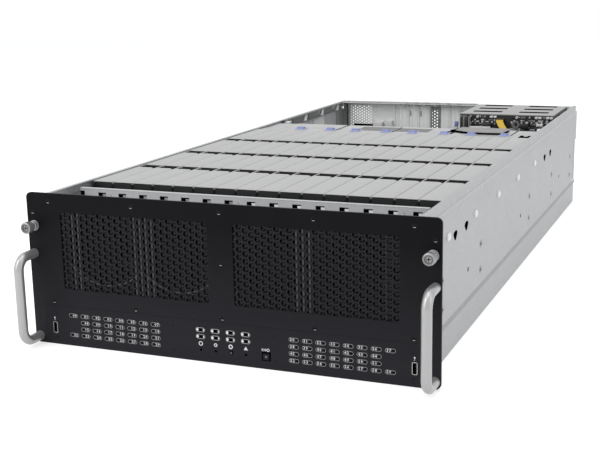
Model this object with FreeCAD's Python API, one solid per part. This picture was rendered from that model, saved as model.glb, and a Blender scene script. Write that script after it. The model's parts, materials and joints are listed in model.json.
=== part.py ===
import FreeCAD, Part
import math
import os

# Rack server, four units high, with sixty top-loaded disk bays, shown with its lids lifted off.
# Every shape is drawn with y = 0 on the front panel's face, y growing to the rear,
# x = 0 on the centre line and z = 0 on the surface that the chassis stands on.
# At the end each shape moves along y so that the origin is the middle of the footprint.

V = FreeCAD.Vector
X_AXIS = V(1, 0, 0)
Y_AXIS = V(0, 1, 0)

# Rack standard and chassis
PANEL_W = 482.6
PANEL_H = 176.6
PANEL_T = 3.0
PANEL_LIFT = 0.3
PANEL_CORNER = 6.0
PANEL_OVER = 1.2
EAR_W = 17.8
SHEET = 1.2
CHASSIS_W = PANEL_W - 2 * EAR_W
CHASSIS_H = PANEL_H - PANEL_OVER
HALF = CHASSIS_W / 2

# Clearances: between fixed pieces, between moving pieces, and of a drop-in bay
FIT = 0.2
RUN = 0.5
BAY_GAP = 0.3

# Disk bays
COLUMNS = 16
COLUMN_SIDE = 7.5
COLUMN_PITCH = (CHASSIS_W - 2 * COLUMN_SIDE) / COLUMNS
CARRIER_W = COLUMN_PITCH - 2 * BAY_GAP
CARRIER_L = 110.0
CARRIER_TOP = CHASSIS_H - PANEL_OVER - FIT
CARRIER_FOOT = 25.0
ROWS = 4
ROW_GAP = 14.5
ROW_PITCH = CARRIER_L + ROW_GAP
ROW_START = 100.0
LID_CORNER = 5.0
LATCH_T = 7.0
LATCH_H = 52.0
LATCH_FOOT = CARRIER_TOP - LATCH_H
LATCH_CORNER = 3.0
DISK_W = CARRIER_W - 2 * RUN
DISK_L = CARRIER_L - LATCH_T - 5.0
DISK_H = CARRIER_TOP - CARRIER_FOOT - 3.0
MOVING_COLUMN = 12
CROSSBAR_TOP = LATCH_FOOT - 5.0
CROSSBAR_H = 22.0
CROSSBAR_W = 8.0
CROSSBAR_TAB = 24.0
CROSSBAR_TAB_H = 29.0
BACKPLANE_Z = 12.0
CONNECTOR_W = 6.0
RIB_W = 10.0

# Middle fan wall
WALL_FRONT = ROW_START + ROWS * ROW_PITCH + 6.0
WALL_TOP = CHASSIS_H - 3.4
MODULE_SIDE = 39.5
MODULES = 4
MODULE_PITCH = (CHASSIS_W - 2 * MODULE_SIDE) / MODULES
MODULE_W = MODULE_PITCH - 4.0
MODULE_START = WALL_FRONT + 5.0
MODULE_DEEP = 60.0
MODULE_H = 103.0
MODULE_TOP = WALL_TOP - 1.0
MODULE_LOW = MODULE_TOP - MODULE_H
MODULE_BORE = min(MODULE_W, MODULE_H) / 2 - 3.0
MODULE_Z = MODULE_TOP - MODULE_H / 2
TAB_X = MODULE_W / 2 - 19.0
TAB_W = 18.0
TAB_L = 26.0
TAB_H = 1.6

# Lengths of the rear compartment, the rear wall and the floor tray
BOARD_START = MODULE_START + MODULE_DEEP + 21.0
BOARD_L = 302.0
BOARD_END = BOARD_START + BOARD_L
REAR_FACE = BOARD_END + 10.0
PAN_END = REAR_FACE + 8.0

# Side wall folds
BAND_INSET = 3.0
BAND_TOP = 33.0
BAND_SLOPE = 5.0
CREST_INSET = 2.0
CREST_H = 11.9
CREST_LOW = CHASSIS_H - CREST_H
CREST_FLANGE = 5.0
WALL_FLANGE = 16.0
PAN_FLANGE = 30.0
NOTCH_DEPTH = 34.0
NOTCH_LOW = 42.0
NOTCH_TOP = CHASSIS_H - 59.4

# Rail fixings in the side walls
RAIL_HOLE_R = 2.1
RAIL_HOLE_LOW = 62.0
RAIL_HOLE_RISE = 32.0
RAIL_HOLE_FIRST = 247.0
RAIL_HOLE_PITCH = 309.0
REAR_RAIL_PITCH = 189.0
REAR_RAIL_FIRST = REAR_FACE - 67.0 - REAR_RAIL_PITCH
HANG_HOLE_R = 3.2
HANG_HOLE_Z = CHASSIS_H - 43.4
HANG_HOLE_PITCH = 50.0
HANG_HOLE_FIRST = 123.0
HANG_HOLE_REAR = REAR_FACE - 326.0
STUD_Z = CHASSIS_H - 38.4
STUD_R = 3.6
STUD_PROUD = 2.0

# Front panel openings
VENT_INNER = 15.0
VENT_OUTER = HALF - 25.5
VENT_LOW = 67.0
VENT_TOP = PANEL_H - 20.6
VENT_CORNER = 4.0
STRIP_HALF = HALF + 1.5
STRIP_TOP = 47.0
SCREW_HEAD_R = 2.8
SCREW_SINK = 1.5
SCREW_SHANK_R = 1.5
TOP_SCREW_Z = PANEL_H - 9.6
SHELF_SCREW_Z = VENT_LOW - 16.0
EAR_SCREW_X = PANEL_W / 2 - 6.8
EAR_SCREW_Z = PANEL_H - 22.6
SCREW_PITCH = (VENT_INNER + VENT_OUTER) / 2

# Vent grille
GRILLE_T = 1.2
GRILLE_LAP = 2.0
HEX_PITCH = 12.45
HEX_RIB = 2.4
HEX_MARGIN = 2.0

# Rack handles and thumbscrews
HANDLE_X = PANEL_W / 2 - 6.3
HANDLE_D = 11.0
HANDLE_LOW = 8.5
HANDLE_SPAN = 98.0
HANDLE_REACH = 32.0
HANDLE_BEND = 15.0
HANDLE_SCREW_R = 2.2
HANDLE_SCREW_DEEP = 10.0
THUMB_X = PANEL_W / 2 - 8.75
THUMB_Z = PANEL_H - 37.6
THUMB_SHANK_R = 2.1
THUMB_RELIEF = 1.0
THUMB_THREAD_R = 2.5
THUMB_THREAD_L = 11.0
THUMB_COLLAR_R = 5.2
THUMB_COLLAR_L = 5.0
THUMB_NECK_R = 3.9
THUMB_NECK_L = 4.0
THUMB_KNOB_R = 6.6
THUMB_KNOB_L = 9.0
THUMB_BEVEL = 1.0
THUMB_SOCKET_R = 3.2
THUMB_SOCKET_DEEP = 2.0

# Control strip: lamp windows, buttons and sockets
USB_X = STRIP_HALF - 11.0
USB_Z = 20.0
USB_W = 5.6
USB_H = 13.2
USB_DEEP = 16.0
USB_WALL = 0.5
USB_TONGUE = 1.8
LAMP_X = 82.5
LAMP_COLS = 8
LAMP_PITCH_X = (USB_X - 10.3 - LAMP_X) / LAMP_COLS
LAMP_Z = 36.3
LAMP_PITCH_Z = 7.7
LAMP_W = 3.4
LAMP_H = 2.6
LAMP_OFFSET = 3.8
STATUS_PITCH = 18.0
STATUS_COLS = 4
BUTTON_Z = 13.6
POWER_X = 50.0
POWER_SIDE = 8.4
POWER_TRAVEL = 1.6
POWER_SUNK = 0.8
ID_X = 9.0
ID_R = 1.9
ID_SUNK = 0.2
BOARD_T = 1.6

# Front fans, two behind each vent, and the shelf under them
FAN_PITCH = (VENT_OUTER - VENT_INNER) / 2
FAN_LOW = VENT_LOW - 1.0
FAN_W = FAN_PITCH - RUN
FAN_H = VENT_TOP + 1.0 - FAN_LOW
FAN_Z = FAN_LOW + FAN_H / 2
FAN_DEEP = 38.0
FAN_BORE = min(FAN_W, FAN_H) / 2 - 2.5
FAN_START = 8.0
FAN_HUB_R = 19.0
FAN_BLADES = 7
FAN_BLADE_T = 1.6
FAN_BLADE_ROOT = 20.0
FAN_BLADE_TIP = 30.0
FAN_BLADE_BOW = 2.4
FAN_ROOT_DEG = 48.0
FAN_TIP_DEG = 32.0
FAN_TIP_GAP = 1.5
FAN_STRUT = 5.0
FAN_MOTOR_L = 8.0
FAN_SPIN_L = 24.0
SHELF_DEEP = 50.0
SHELF_LEG = 20.0

# Front rail, a trough behind the panel with windows in its face, each half closed by a tab
RAIL_FACE = 58.0
RAIL_BACK = 63.0
RAIL_TOP = CHASSIS_H - 2.0
RAIL_FLOOR = RAIL_TOP - 12.4
RAIL_SKIRT = 24.0
RAIL_END = 8.0
RAIL_WINDOW_W = 10.4
RAIL_WINDOW_H = 5.4
RAIL_WINDOW_TOP = 4.6
RAIL_WINDOW_SHIFT = 11.0
RAIL_TAB_DROP = 1.4

# Power supplies in their cage
CAGE_RIGHT = HALF - 17.5
CAGE_W = 160.0
CAGE_LEFT = CAGE_RIGHT - CAGE_W
CAGE_START = REAR_FACE - 144.0
CAGE_TOP = CARRIER_TOP
CAGE_H = 46.0
CAGE_LOW = CAGE_TOP - CAGE_H
CAGE_SLOT_L = 42.0
CAGE_SLOT_W = 9.0
CAGE_SLOT_FIRST = CAGE_START + 37.0
CAGE_SLOT_PITCH = 46.0
SUPPLY_W = CAGE_W / 2 - 4.0
SUPPLY_H = CAGE_H - 6.0
SUPPLY_GRIP = 20.0
SUPPLY_GRIP_T = 3.0
SUPPLY_GRIP_W = 36.0
SUPPLY_FAN_R = 15.0
INLET_W = 20.0
INLET_H = 16.0
POWER_BOARD_T = 2.0
PLUG_DEEP = 9.0

# Mainboard, its flat lead, and the rear wall's openings
BOARD_LEFT = 8.5 - HALF
BOARD_RIGHT = HALF - 89.5
BOARD_Z = 9.0
STANDOFF_R = 3.0
RIBBON_W = 12.0
RIBBON_X = BOARD_RIGHT - 1.5 * RIBBON_W
RIBBON_T = 0.8
RIBBON_TOP = CAGE_TOP - 10.0
RIBBON_BEND = 12.0
SINK_SIDE = 78.0
SINK_H = 64.0
SINK_BASE = 6.0
SINK_FINS = 12
SINK_FIN_T = 1.6
SINK_ZONE = (RIBBON_X - BOARD_LEFT) / 2
SINK_X = (BOARD_LEFT + SINK_ZONE / 2, RIBBON_X - SINK_ZONE / 2)
SINK_Y = BOARD_START + 100.0
DIMM_L = 133.0
DIMM_H = 31.0
DIMM_T = 3.0
DIMMS_PER_BANK = 4
DIMM_PITCH = (SINK_ZONE / 2 - SINK_SIDE / 2 - 5.75) / DIMMS_PER_BANK
SLOT_PITCH = 20.32
SLOTS = 6
SLOT_FIRST = CAGE_LEFT - 32.0 - SLOTS * SLOT_PITCH
SLOT_W = 18.4
SLOT_LOW = 58.0
SLOT_TOP = CHASSIS_H - 5.4
SLOT_OPEN_W = 14.0
REAR_VENT_LEFT = 17.5 - HALF
REAR_VENT_RIGHT = SLOT_FIRST - 10.0
REAR_VENT_LOW = 60.0
REAR_VENT_TOP = CHASSIS_H - 8.4
IO_LEFT = SLOT_FIRST + 8.0
IO_RIGHT = CAGE_LEFT - 16.0
IO_TOP = 46.0
COVER_RAIL_START = BOARD_START
COVER_RAIL_H = 13.0
COVER_RAIL_W = 6.0
COVER_SLOTS = 4

# Sizes that follow from those above
WALL_IN = HALF - SHEET
BAND_IN = HALF - BAND_INSET - SHEET
CREST_IN = HALF - CREST_INSET - SHEET
PANEL_BACK = PANEL_T + FIT
PANEL_TOP = PANEL_LIFT + PANEL_H
STRIP_HIGH = STRIP_TOP - FIT
COLUMN_LEFT = -COLUMNS * COLUMN_PITCH / 2
FAN_NEAR = VENT_INNER + FAN_PITCH / 2
FAN_FAR = FAN_NEAR + FAN_PITCH
FAN_X = (-FAN_FAR, -FAN_NEAR, FAN_NEAR, FAN_FAR)
FIRST_MODULE_X = -(MODULES - 1) / 2 * MODULE_PITCH
SUPPLY_MID = (CAGE_LEFT + CAGE_RIGHT) / 2
SUPPLY_PITCH = CAGE_W / 2
FRONT_REACH = HANDLE_REACH + HANDLE_D / 2
REAR_REACH = max(PAN_END, REAR_FACE + SUPPLY_GRIP)
FRONT_Y = (FRONT_REACH - REAR_REACH) / 2


def block(x, y, z):
    """Box between three (low, high) pairs."""
    return Part.makeBox(x[1] - x[0], y[1] - y[0], z[1] - z[0], V(x[0], y[0], z[0]))


def around(middle, width):
    """Low and high ends of a width centred on a point."""
    return (middle - width / 2, middle + width / 2)


def polygon(points):
    """Flat closed wire through the points."""
    return Part.makePolygon(points + points[:1])


def outline_xz(pairs, y):
    return [V(x, y, z) for x, z in pairs]


def outline_yz(pairs, x):
    return [V(x, y, z) for y, z in pairs]


def outline_xy(pairs, z):
    return [V(x, y, z) for x, y in pairs]


def prism(points, travel):
    """Solid swept from a flat outline along a vector."""
    return Part.Face(polygon(points)).extrude(travel)


def sheet_outline(pairs, thickness):
    """Closed outline of a folded sheet: the pairs run along one skin, the other lies to the left."""
    steps = []
    for start, end in zip(pairs, pairs[1:]):
        length = math.hypot(end[0] - start[0], end[1] - start[1])
        steps.append(((end[0] - start[0]) / length, (end[1] - start[1]) / length))
    inner = []
    for index, (a, b) in enumerate(pairs):
        before = steps[max(index - 1, 0)]
        after = steps[min(index, len(steps) - 1)]
        across = (-before[1] - after[1], before[0] + after[0])
        scale = thickness / (1 + before[0] * after[0] + before[1] * after[1])
        inner.append((a + across[0] * scale, b + across[1] * scale))
    return list(pairs) + inner[::-1]


def edges_along(shape, axis):
    """Straight edges that run along an axis."""
    found = []
    for edge in shape.Edges:
        run = edge.Vertexes[-1].Point - edge.Vertexes[0].Point
        if run.Length > 0 and abs(run.dot(axis)) > 0.999 * run.Length:
            found.append(edge)
    return found


def rounded_plate(x, y, z, radius):
    """Box with its four corners in the panel's plane rounded."""
    plate = block(x, y, z)
    return plate.makeFillet(radius, edges_along(plate, Y_AXIS))


def mirrored(shape):
    return shape.mirror(V(0, 0, 0), X_AXIS)


def turned_y(profile, x, z):
    """Solid of revolution about a line along y: the profile is (y, radius) pairs."""
    points = [V(0, y, radius) for y, radius in profile]
    ring = Part.Face(polygon(points)).revolve(V(0, 0, 0), Y_AXIS, 360)
    return ring.translated(V(x, 0, z))


def rod_y(x, z, radius, y):
    return Part.makeCylinder(radius, y[1] - y[0], V(x, y[0], z), Y_AXIS)


def rod_x(y, z, radius, x):
    return Part.makeCylinder(radius, x[1] - x[0], V(x[0], y, z), X_AXIS)


def hex_holes(x, z, pitch, rib, margin):
    """Wires of the hexagons that fit in a rectangle, in staggered columns."""
    across = pitch - rib
    corner = across / math.sqrt(3)
    step = pitch * math.sqrt(3) / 2
    columns = int((x[1] - x[0] - 2 * (corner + margin)) / step) + 1
    rows = int((z[1] - z[0] - 2 * margin - across) / pitch) + 1
    first_x = (x[0] + x[1]) / 2 - (columns - 1) * step / 2
    middle_z = (z[0] + z[1]) / 2
    wires = []
    for column in range(columns):
        count = rows - column % 2
        for row in range(count):
            cx = first_x + column * step
            cz = middle_z + (row - (count - 1) / 2) * pitch
            turns = [math.radians(60 * k) for k in range(6)]
            wires.append(polygon([V(cx + corner * math.cos(t), 0, cz + corner * math.sin(t)) for t in turns]))
    return wires


def perforated_plate(x, y, z, holes):
    """Flat plate across y with a list of hole wires punched through it."""
    outer = polygon([V(x[0], 0, z[0]), V(x[1], 0, z[0]), V(x[1], 0, z[1]), V(x[0], 0, z[1])])
    face = Part.makeFace([outer] + holes, "Part::FaceMakerBullseye")
    return face.extrude(V(0, y[1] - y[0], 0)).translated(V(0, y[0], 0))


# Places shared by several pieces
INNER_HALF = BAND_IN - SHEET - 2 * FIT
SHELF_FRONT = PANEL_BACK + GRILLE_T + FIT
SHELF_TOP = FAN_LOW - FIT
STUD_ROWS = [ROW_START + ROW_PITCH * k - (ROW_PITCH - CARRIER_L) / 2 for k in range(ROWS + 1)]
SCREW_COLUMNS = [SCREW_PITCH * k for k in (-2, -1, 0, 1, 2)]
SCREWS = [(x, TOP_SCREW_Z) for x in SCREW_COLUMNS] + [(x, SHELF_SCREW_Z) for x in SCREW_COLUMNS]
SCREWS += [(-EAR_SCREW_X, EAR_SCREW_Z), (EAR_SCREW_X, EAR_SCREW_Z), (0.0, FAN_Z)]
SCREW_END = SHELF_FRONT + SHEET + FIT
THUMB_BORE = THUMB_SHANK_R + BAY_GAP
WALL_END = REAR_FACE - SHEET - FIT
SINK_Z = BOARD_Z + BOARD_T


def screw_clearance():
    """Straight holes for every panel screw."""
    return [rod_y(x, z, SCREW_SHANK_R + FIT, (0, SCREW_END + FIT)) for x, z in SCREWS]


def side_wall():
    """Right side wall: a folded sheet with a set-in lower band and crest."""
    skin = [
        (HALF - BAND_INSET, 0),
        (HALF - BAND_INSET, BAND_TOP),
        (HALF, BAND_TOP + BAND_SLOPE),
        (HALF, CREST_LOW),
        (HALF - CREST_INSET, CREST_LOW + CREST_INSET),
        (HALF - CREST_INSET, CHASSIS_H),
        (HALF - CREST_INSET - CREST_FLANGE, CHASSIS_H),
    ]
    wall = prism(outline_xz(sheet_outline(skin, SHEET), PANEL_BACK), V(0, PAN_END - PANEL_BACK, 0))
    past = HALF + STUD_PROUD
    inside = HALF - CREST_INSET - 2 * CREST_FLANGE
    wall = wall.cut(block((inside, past), (REAR_FACE, PAN_END + FIT), (BAND_TOP, CHASSIS_H + FIT)))
    wall = wall.cut(block((inside, past), (REAR_FACE - NOTCH_DEPTH, REAR_FACE + FIT), (NOTCH_LOW, NOTCH_TOP)))
    flange = block((WALL_IN - WALL_FLANGE, WALL_IN + SHEET / 2), (PANEL_BACK, PANEL_BACK + SHEET),
                   (STRIP_TOP, RAIL_FLOOR - SHEET - FIT))
    wall = wall.fuse(flange).removeSplitter()
    holes = screw_clearance()
    for first, pitch in ((RAIL_HOLE_FIRST, RAIL_HOLE_PITCH), (REAR_RAIL_FIRST, REAR_RAIL_PITCH)):
        for y in (first, first + pitch):
            for z in (RAIL_HOLE_LOW, RAIL_HOLE_LOW + RAIL_HOLE_RISE):
                holes.append(rod_x(y, z, RAIL_HOLE_R, (inside, past)))
    for first in (HANG_HOLE_FIRST, HANG_HOLE_REAR):
        for y in (first, first + HANG_HOLE_PITCH):
            holes.append(rod_x(y, HANG_HOLE_Z, HANG_HOLE_R, (inside, past)))
    return wall.cut(holes)


def base_pan():
    """Floor tray with ribs under the backplanes and standoffs under the mainboard."""
    half = BAND_IN - FIT
    skin = [(-half, PAN_FLANGE), (-half, 0), (half, 0), (half, PAN_FLANGE)]
    pan = prism(outline_xz(sheet_outline(skin, SHEET), PANEL_BACK), V(0, PAN_END - PANEL_BACK, 0))
    added = []
    for row in range(ROWS):
        for share in (0.2, 0.8):
            y = around(ROW_START + ROW_PITCH * row + CARRIER_L * share, RIB_W)
            rib = [(y[1], 0), (y[1], BACKPLANE_Z), (y[0], BACKPLANE_Z), (y[0], 0)]
            start = COLUMN_LEFT + COLUMN_PITCH / 2
            added.append(prism(outline_yz(sheet_outline(rib, SHEET), start), V(-2 * start, 0, 0)))
    for x in (BOARD_LEFT + 3 * STANDOFF_R, 0, BOARD_RIGHT - 3 * STANDOFF_R):
        for y in (BOARD_START + 3 * STANDOFF_R, BOARD_END - 3 * STANDOFF_R):
            added.append(Part.makeCylinder(STANDOFF_R, BOARD_Z, V(x, y, 0)))
    return pan.fuse(added).removeSplitter()


def front_panel():
    """Black rack panel with two vents, a window for the control strip and sunk screw holes."""
    half = PANEL_W / 2
    panel = rounded_plate((-half, half), (0, PANEL_T), (PANEL_LIFT, PANEL_TOP), PANEL_CORNER)
    through = (-FIT, PANEL_T + FIT)
    vent = rounded_plate((VENT_INNER, VENT_OUTER), through, (VENT_LOW, VENT_TOP), VENT_CORNER)
    cuts = [vent, mirrored(vent)]
    cuts.append(block((-STRIP_HALF, STRIP_HALF), through, (0, STRIP_TOP)))
    cuts += screw_clearance()
    cuts += [Part.makeCone(SCREW_HEAD_R + FIT, SCREW_SHANK_R + FIT, SCREW_SINK, V(x, 0, z), Y_AXIS)
             for x, z in SCREWS]
    for side in (-1, 1):
        cuts.append(rod_y(side * THUMB_X, THUMB_Z, THUMB_BORE, through))
        for z in (HANDLE_LOW, HANDLE_LOW + HANDLE_SPAN):
            cuts.append(rod_y(side * HANDLE_X, z, HANDLE_SCREW_R + FIT, through))
    return panel.cut(cuts)


def lamp_places():
    """Centres of all lamp windows in the control strip."""
    places = []
    for row in range(4):
        columns = LAMP_COLS if row in (0, 3) else LAMP_COLS - 1
        for column in range(columns):
            x = LAMP_X + LAMP_PITCH_X * column + LAMP_OFFSET
            places += [(x, LAMP_Z - LAMP_PITCH_Z * row), (-x, LAMP_Z - LAMP_PITCH_Z * row)]
    for row in range(2):
        for column in range(STATUS_COLS):
            x = (column - (STATUS_COLS - 1) / 2) * STATUS_PITCH
            places.append((x, LAMP_Z - LAMP_PITCH_Z * row))
    return places


def rectangle_xz(x, z):
    return polygon([V(x[0], 0, z[0]), V(x[1], 0, z[0]), V(x[1], 0, z[1]), V(x[0], 0, z[1])])


def control_plate():
    """Lower strip of the panel with lamp windows, two sockets and two buttons."""
    windows = [rectangle_xz(around(x, LAMP_W), around(z, LAMP_H)) for x, z in lamp_places()]
    button = POWER_SIDE + 2 * RUN
    windows.append(rectangle_xz(around(POWER_X, button), around(BUTTON_Z, button)))
    for side in (-1, 1):
        windows.append(rectangle_xz(around(side * USB_X, USB_W + 2 * FIT), around(USB_Z, USB_H + 2 * FIT)))
    half = STRIP_HALF - FIT
    plate = perforated_plate((-half, half), (0, PANEL_T), (PANEL_LIFT, STRIP_HIGH), windows)
    return plate.cut(rod_y(ID_X, BUTTON_Z, ID_R + BAY_GAP, (-FIT, PANEL_T + FIT)))


def vent_grilles():
    """Two hexagon grilles behind the panel's vents."""
    x = (VENT_INNER - GRILLE_LAP, VENT_OUTER + GRILLE_LAP)
    z = (VENT_LOW - GRILLE_LAP, VENT_TOP + GRILLE_LAP)
    holes = hex_holes((VENT_INNER, VENT_OUTER), (VENT_LOW, VENT_TOP), HEX_PITCH, HEX_RIB, HEX_MARGIN)
    right = perforated_plate(x, (PANEL_BACK, PANEL_BACK + GRILLE_T), z, holes)
    return [right, mirrored(right)]


def handle(side):
    """Bent round bar with a tapped hole in each foot."""
    x = side * HANDLE_X
    top = HANDLE_LOW + HANDLE_SPAN
    near = HANDLE_REACH - HANDLE_BEND
    slack = HANDLE_BEND * (1 - math.sqrt(0.5))
    low_arc = Part.Arc(V(x, -near, HANDLE_LOW), V(x, slack - HANDLE_REACH, HANDLE_LOW + slack),
                       V(x, -HANDLE_REACH, HANDLE_LOW + HANDLE_BEND))
    top_arc = Part.Arc(V(x, -HANDLE_REACH, top - HANDLE_BEND), V(x, slack - HANDLE_REACH, top - slack),
                       V(x, -near, top))
    runs = [
        Part.LineSegment(V(x, 0, HANDLE_LOW), V(x, -near, HANDLE_LOW)),
        low_arc,
        Part.LineSegment(V(x, -HANDLE_REACH, HANDLE_LOW + HANDLE_BEND),
                         V(x, -HANDLE_REACH, top - HANDLE_BEND)),
        top_arc,
        Part.LineSegment(V(x, -near, top), V(x, 0, top)),
    ]
    path = Part.Wire([run.toShape() for run in runs])
    ring = Part.Wire(Part.Circle(V(x, 0, HANDLE_LOW), Y_AXIS, HANDLE_D / 2).toShape())
    bar = path.makePipeShell([ring], True, False)
    holes = [rod_y(x, z, HANDLE_SCREW_R + FIT, (-HANDLE_SCREW_DEEP, FIT)) for z in (HANDLE_LOW, top)]
    return bar.cut(holes)


def thumbscrew(side):
    """Captive screw: knob, neck, relieved shank and threaded end turned as one."""
    neck = -THUMB_COLLAR_L - BAY_GAP
    back = neck - THUMB_NECK_L
    front = back - THUMB_KNOB_L
    thread = PANEL_T + THUMB_RELIEF
    end = thread + THUMB_THREAD_L
    profile = [
        (front + THUMB_SOCKET_DEEP, 0),
        (front + THUMB_SOCKET_DEEP, THUMB_SOCKET_R),
        (front, THUMB_SOCKET_R),
        (front, THUMB_KNOB_R - THUMB_BEVEL),
        (front + THUMB_BEVEL, THUMB_KNOB_R),
        (back, THUMB_KNOB_R),
        (back, THUMB_NECK_R),
        (neck, THUMB_NECK_R),
        (neck, THUMB_SHANK_R),
        (thread, THUMB_SHANK_R),
        (thread, THUMB_THREAD_R),
        (end, THUMB_THREAD_R),
        (end, 0),
    ]
    return turned_y(profile, side * THUMB_X, THUMB_Z)


def panel_screws():
    """Sunk panel screws, handle screws and the collars round the thumbscrews."""
    pieces = []
    for x, z in SCREWS:
        head = Part.makeCone(SCREW_HEAD_R, SCREW_SHANK_R, SCREW_SINK, V(x, 0, z), Y_AXIS)
        pieces.append(head.fuse(rod_y(x, z, SCREW_SHANK_R, (0, SCREW_END))).removeSplitter())
    for side in (-1, 1):
        for z in (HANDLE_LOW, HANDLE_LOW + HANDLE_SPAN):
            x = side * HANDLE_X
            shank = rod_y(x, z, HANDLE_SCREW_R, (FIT - HANDLE_SCREW_DEEP, PANEL_T + SHEET))
            head = rod_y(x, z, 2 * HANDLE_SCREW_R, (PANEL_T, PANEL_T + HANDLE_SCREW_R))
            pieces.append(shank.fuse(head).removeSplitter())
        collar = rod_y(side * THUMB_X, THUMB_Z, THUMB_COLLAR_R, (-THUMB_COLLAR_L, 0))
        pieces.append(collar.cut(rod_y(side * THUMB_X, THUMB_Z, THUMB_BORE, (-THUMB_COLLAR_L, 0))))
    return pieces


def indicator_board():
    """Lamp and switch board on four posts behind the control strip."""
    y = (PANEL_T + 2 * BOARD_T + POWER_TRAVEL, PANEL_T + 3 * BOARD_T + POWER_TRAVEL)
    edge = USB_X - USB_W
    z = (BUTTON_Z - POWER_SIDE, LAMP_Z + LAMP_PITCH_Z)
    board = block((-edge, edge), y, z)
    reach = POWER_X + POWER_SIDE + STANDOFF_R
    inset = 1.5 * STANDOFF_R
    posts = [rod_y(x, level, STANDOFF_R, (PANEL_T, y[0]))
             for x in (-reach, reach, inset - edge, edge - inset)
             for level in (z[0] + inset, z[1] - inset)]
    return board.fuse(posts).removeSplitter()


def usb_ports():
    """Two upright sockets: a folded shell with a tongue on one side."""
    shells = []
    for side in (-1, 1):
        x = around(side * USB_X, USB_W)
        z = around(USB_Z, USB_H)
        y = (FIT, USB_DEEP)
        shell = block(x, y, z)
        hollow = block((x[0] + USB_WALL, x[1] - USB_WALL), (0, USB_DEEP - USB_WALL),
                       (z[0] + USB_WALL, z[1] - USB_WALL))
        tongue = block((x[0] + USB_WALL, x[0] + USB_WALL + USB_TONGUE), (2 * USB_WALL, USB_DEEP - USB_WALL),
                       (z[0] + 2 * USB_WALL, z[1] - 2 * USB_WALL))
        shells.append(shell.cut(hollow).fuse(tongue).removeSplitter())
    return shells


def power_button():
    """Square push button sunk in its window."""
    y = (POWER_SUNK, PANEL_T + BOARD_T)
    cap = block(around(POWER_X, POWER_SIDE), y, around(BUTTON_Z, POWER_SIDE))
    return cap.makeChamfer(POWER_SUNK, [edge for edge in cap.Edges if edge.BoundBox.YMax < POWER_SUNK + FIT])


def id_button():
    return rod_y(ID_X, BUTTON_Z, ID_R, (ID_SUNK, PANEL_T + BOARD_T))


def blade_section(radius, chord, pitch):
    """Bowed section of a fan blade, in the plane square to the blade at a radius, turned to its pitch."""
    half = chord / 2
    skin = FAN_BLADE_T / 2
    low = -FAN_BLADE_BOW / 2
    high = FAN_BLADE_BOW / 2
    upper = Part.Arc(V(radius, low + skin, -half), V(radius, high + skin, 0), V(radius, low + skin, half))
    lower = Part.Arc(V(radius, low - skin, half), V(radius, high - skin, 0), V(radius, low - skin, -half))
    nose = Part.makeLine(V(radius, low + skin, half), V(radius, low - skin, half))
    tail = Part.makeLine(V(radius, low - skin, -half), V(radius, low + skin, -half))
    wire = Part.Wire([upper.toShape(), nose, lower.toShape(), tail])
    return wire.rotated(V(0, 0, 0), X_AXIS, pitch)


def fan_rotor(x, z, y, tip):
    """Hub with twisted, bowed blades trimmed to the duct, all one moulding."""
    hub = rod_y(0, 0, FAN_HUB_R, y)
    root = FAN_HUB_R - 2 * FAN_BLADE_T
    chord = (FAN_BLADE_ROOT + FAN_BLADE_TIP) / 2
    pitch = (FAN_ROOT_DEG + FAN_TIP_DEG) / 2
    sections = [blade_section(root, FAN_BLADE_ROOT, FAN_ROOT_DEG), blade_section((root + tip) / 2, chord, pitch),
                blade_section(tip, FAN_BLADE_TIP, FAN_TIP_DEG)]
    blade = Part.makeLoft(sections, True)
    blade.translate(V(0, (y[0] + y[1]) / 2, 0))
    blade = blade.common(rod_y(0, 0, tip, y))
    blades = [blade.rotated(V(0, 0, 0), Y_AXIS, 360 / FAN_BLADES * k) for k in range(FAN_BLADES)]
    return hub.fuse(blades).removeSplitter().translated(V(x, 0, z))


def fan_frame(x, z, y, bore, axis_x, axis_z):
    """Square fan frame: round duct, motor seat and four struts at its rear."""
    frame = block(x, y, z).cut(rod_y(axis_x, axis_z, bore, y))
    motor = rod_y(axis_x, axis_z, FAN_HUB_R, (y[1] - FAN_MOTOR_L, y[1]))
    strut_y = (y[1] - FAN_STRUT, y[1])
    across = block(around(axis_x, 2 * bore + FIT), strut_y, around(axis_z, FAN_STRUT))
    upright = block(around(axis_x, FAN_STRUT), strut_y, around(axis_z, 2 * bore + FIT))
    return frame.fuse([motor, across, upright]).removeSplitter()


def rotor_span(y):
    """Length of the rotor along y in a frame that spans y."""
    end = y[1] - FAN_MOTOR_L - RUN
    return (end - FAN_SPIN_L, end)


def front_fans():
    frames = []
    rotors = []
    y = (FAN_START, FAN_START + FAN_DEEP)
    for x in FAN_X:
        frames.append(fan_frame(around(x, FAN_W), around(FAN_Z, FAN_H), y, FAN_BORE, x, FAN_Z))
        rotors.append(fan_rotor(x, FAN_Z, rotor_span(y), FAN_BORE - FAN_TIP_GAP))
    return frames, rotors


def front_fan_shelf():
    """Folded shelf under the front fans, screwed to the panel along its front leg."""
    end = SHELF_FRONT + SHELF_DEEP
    skin = [(end, SHELF_TOP - SHELF_LEG), (end, SHELF_TOP), (SHELF_FRONT, SHELF_TOP),
            (SHELF_FRONT, SHELF_TOP - SHELF_LEG)]
    half = WALL_IN - FIT
    shelf = prism(outline_yz(sheet_outline(skin, SHEET), -half), V(2 * half, 0, 0))
    return shelf.cut(screw_clearance())


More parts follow.
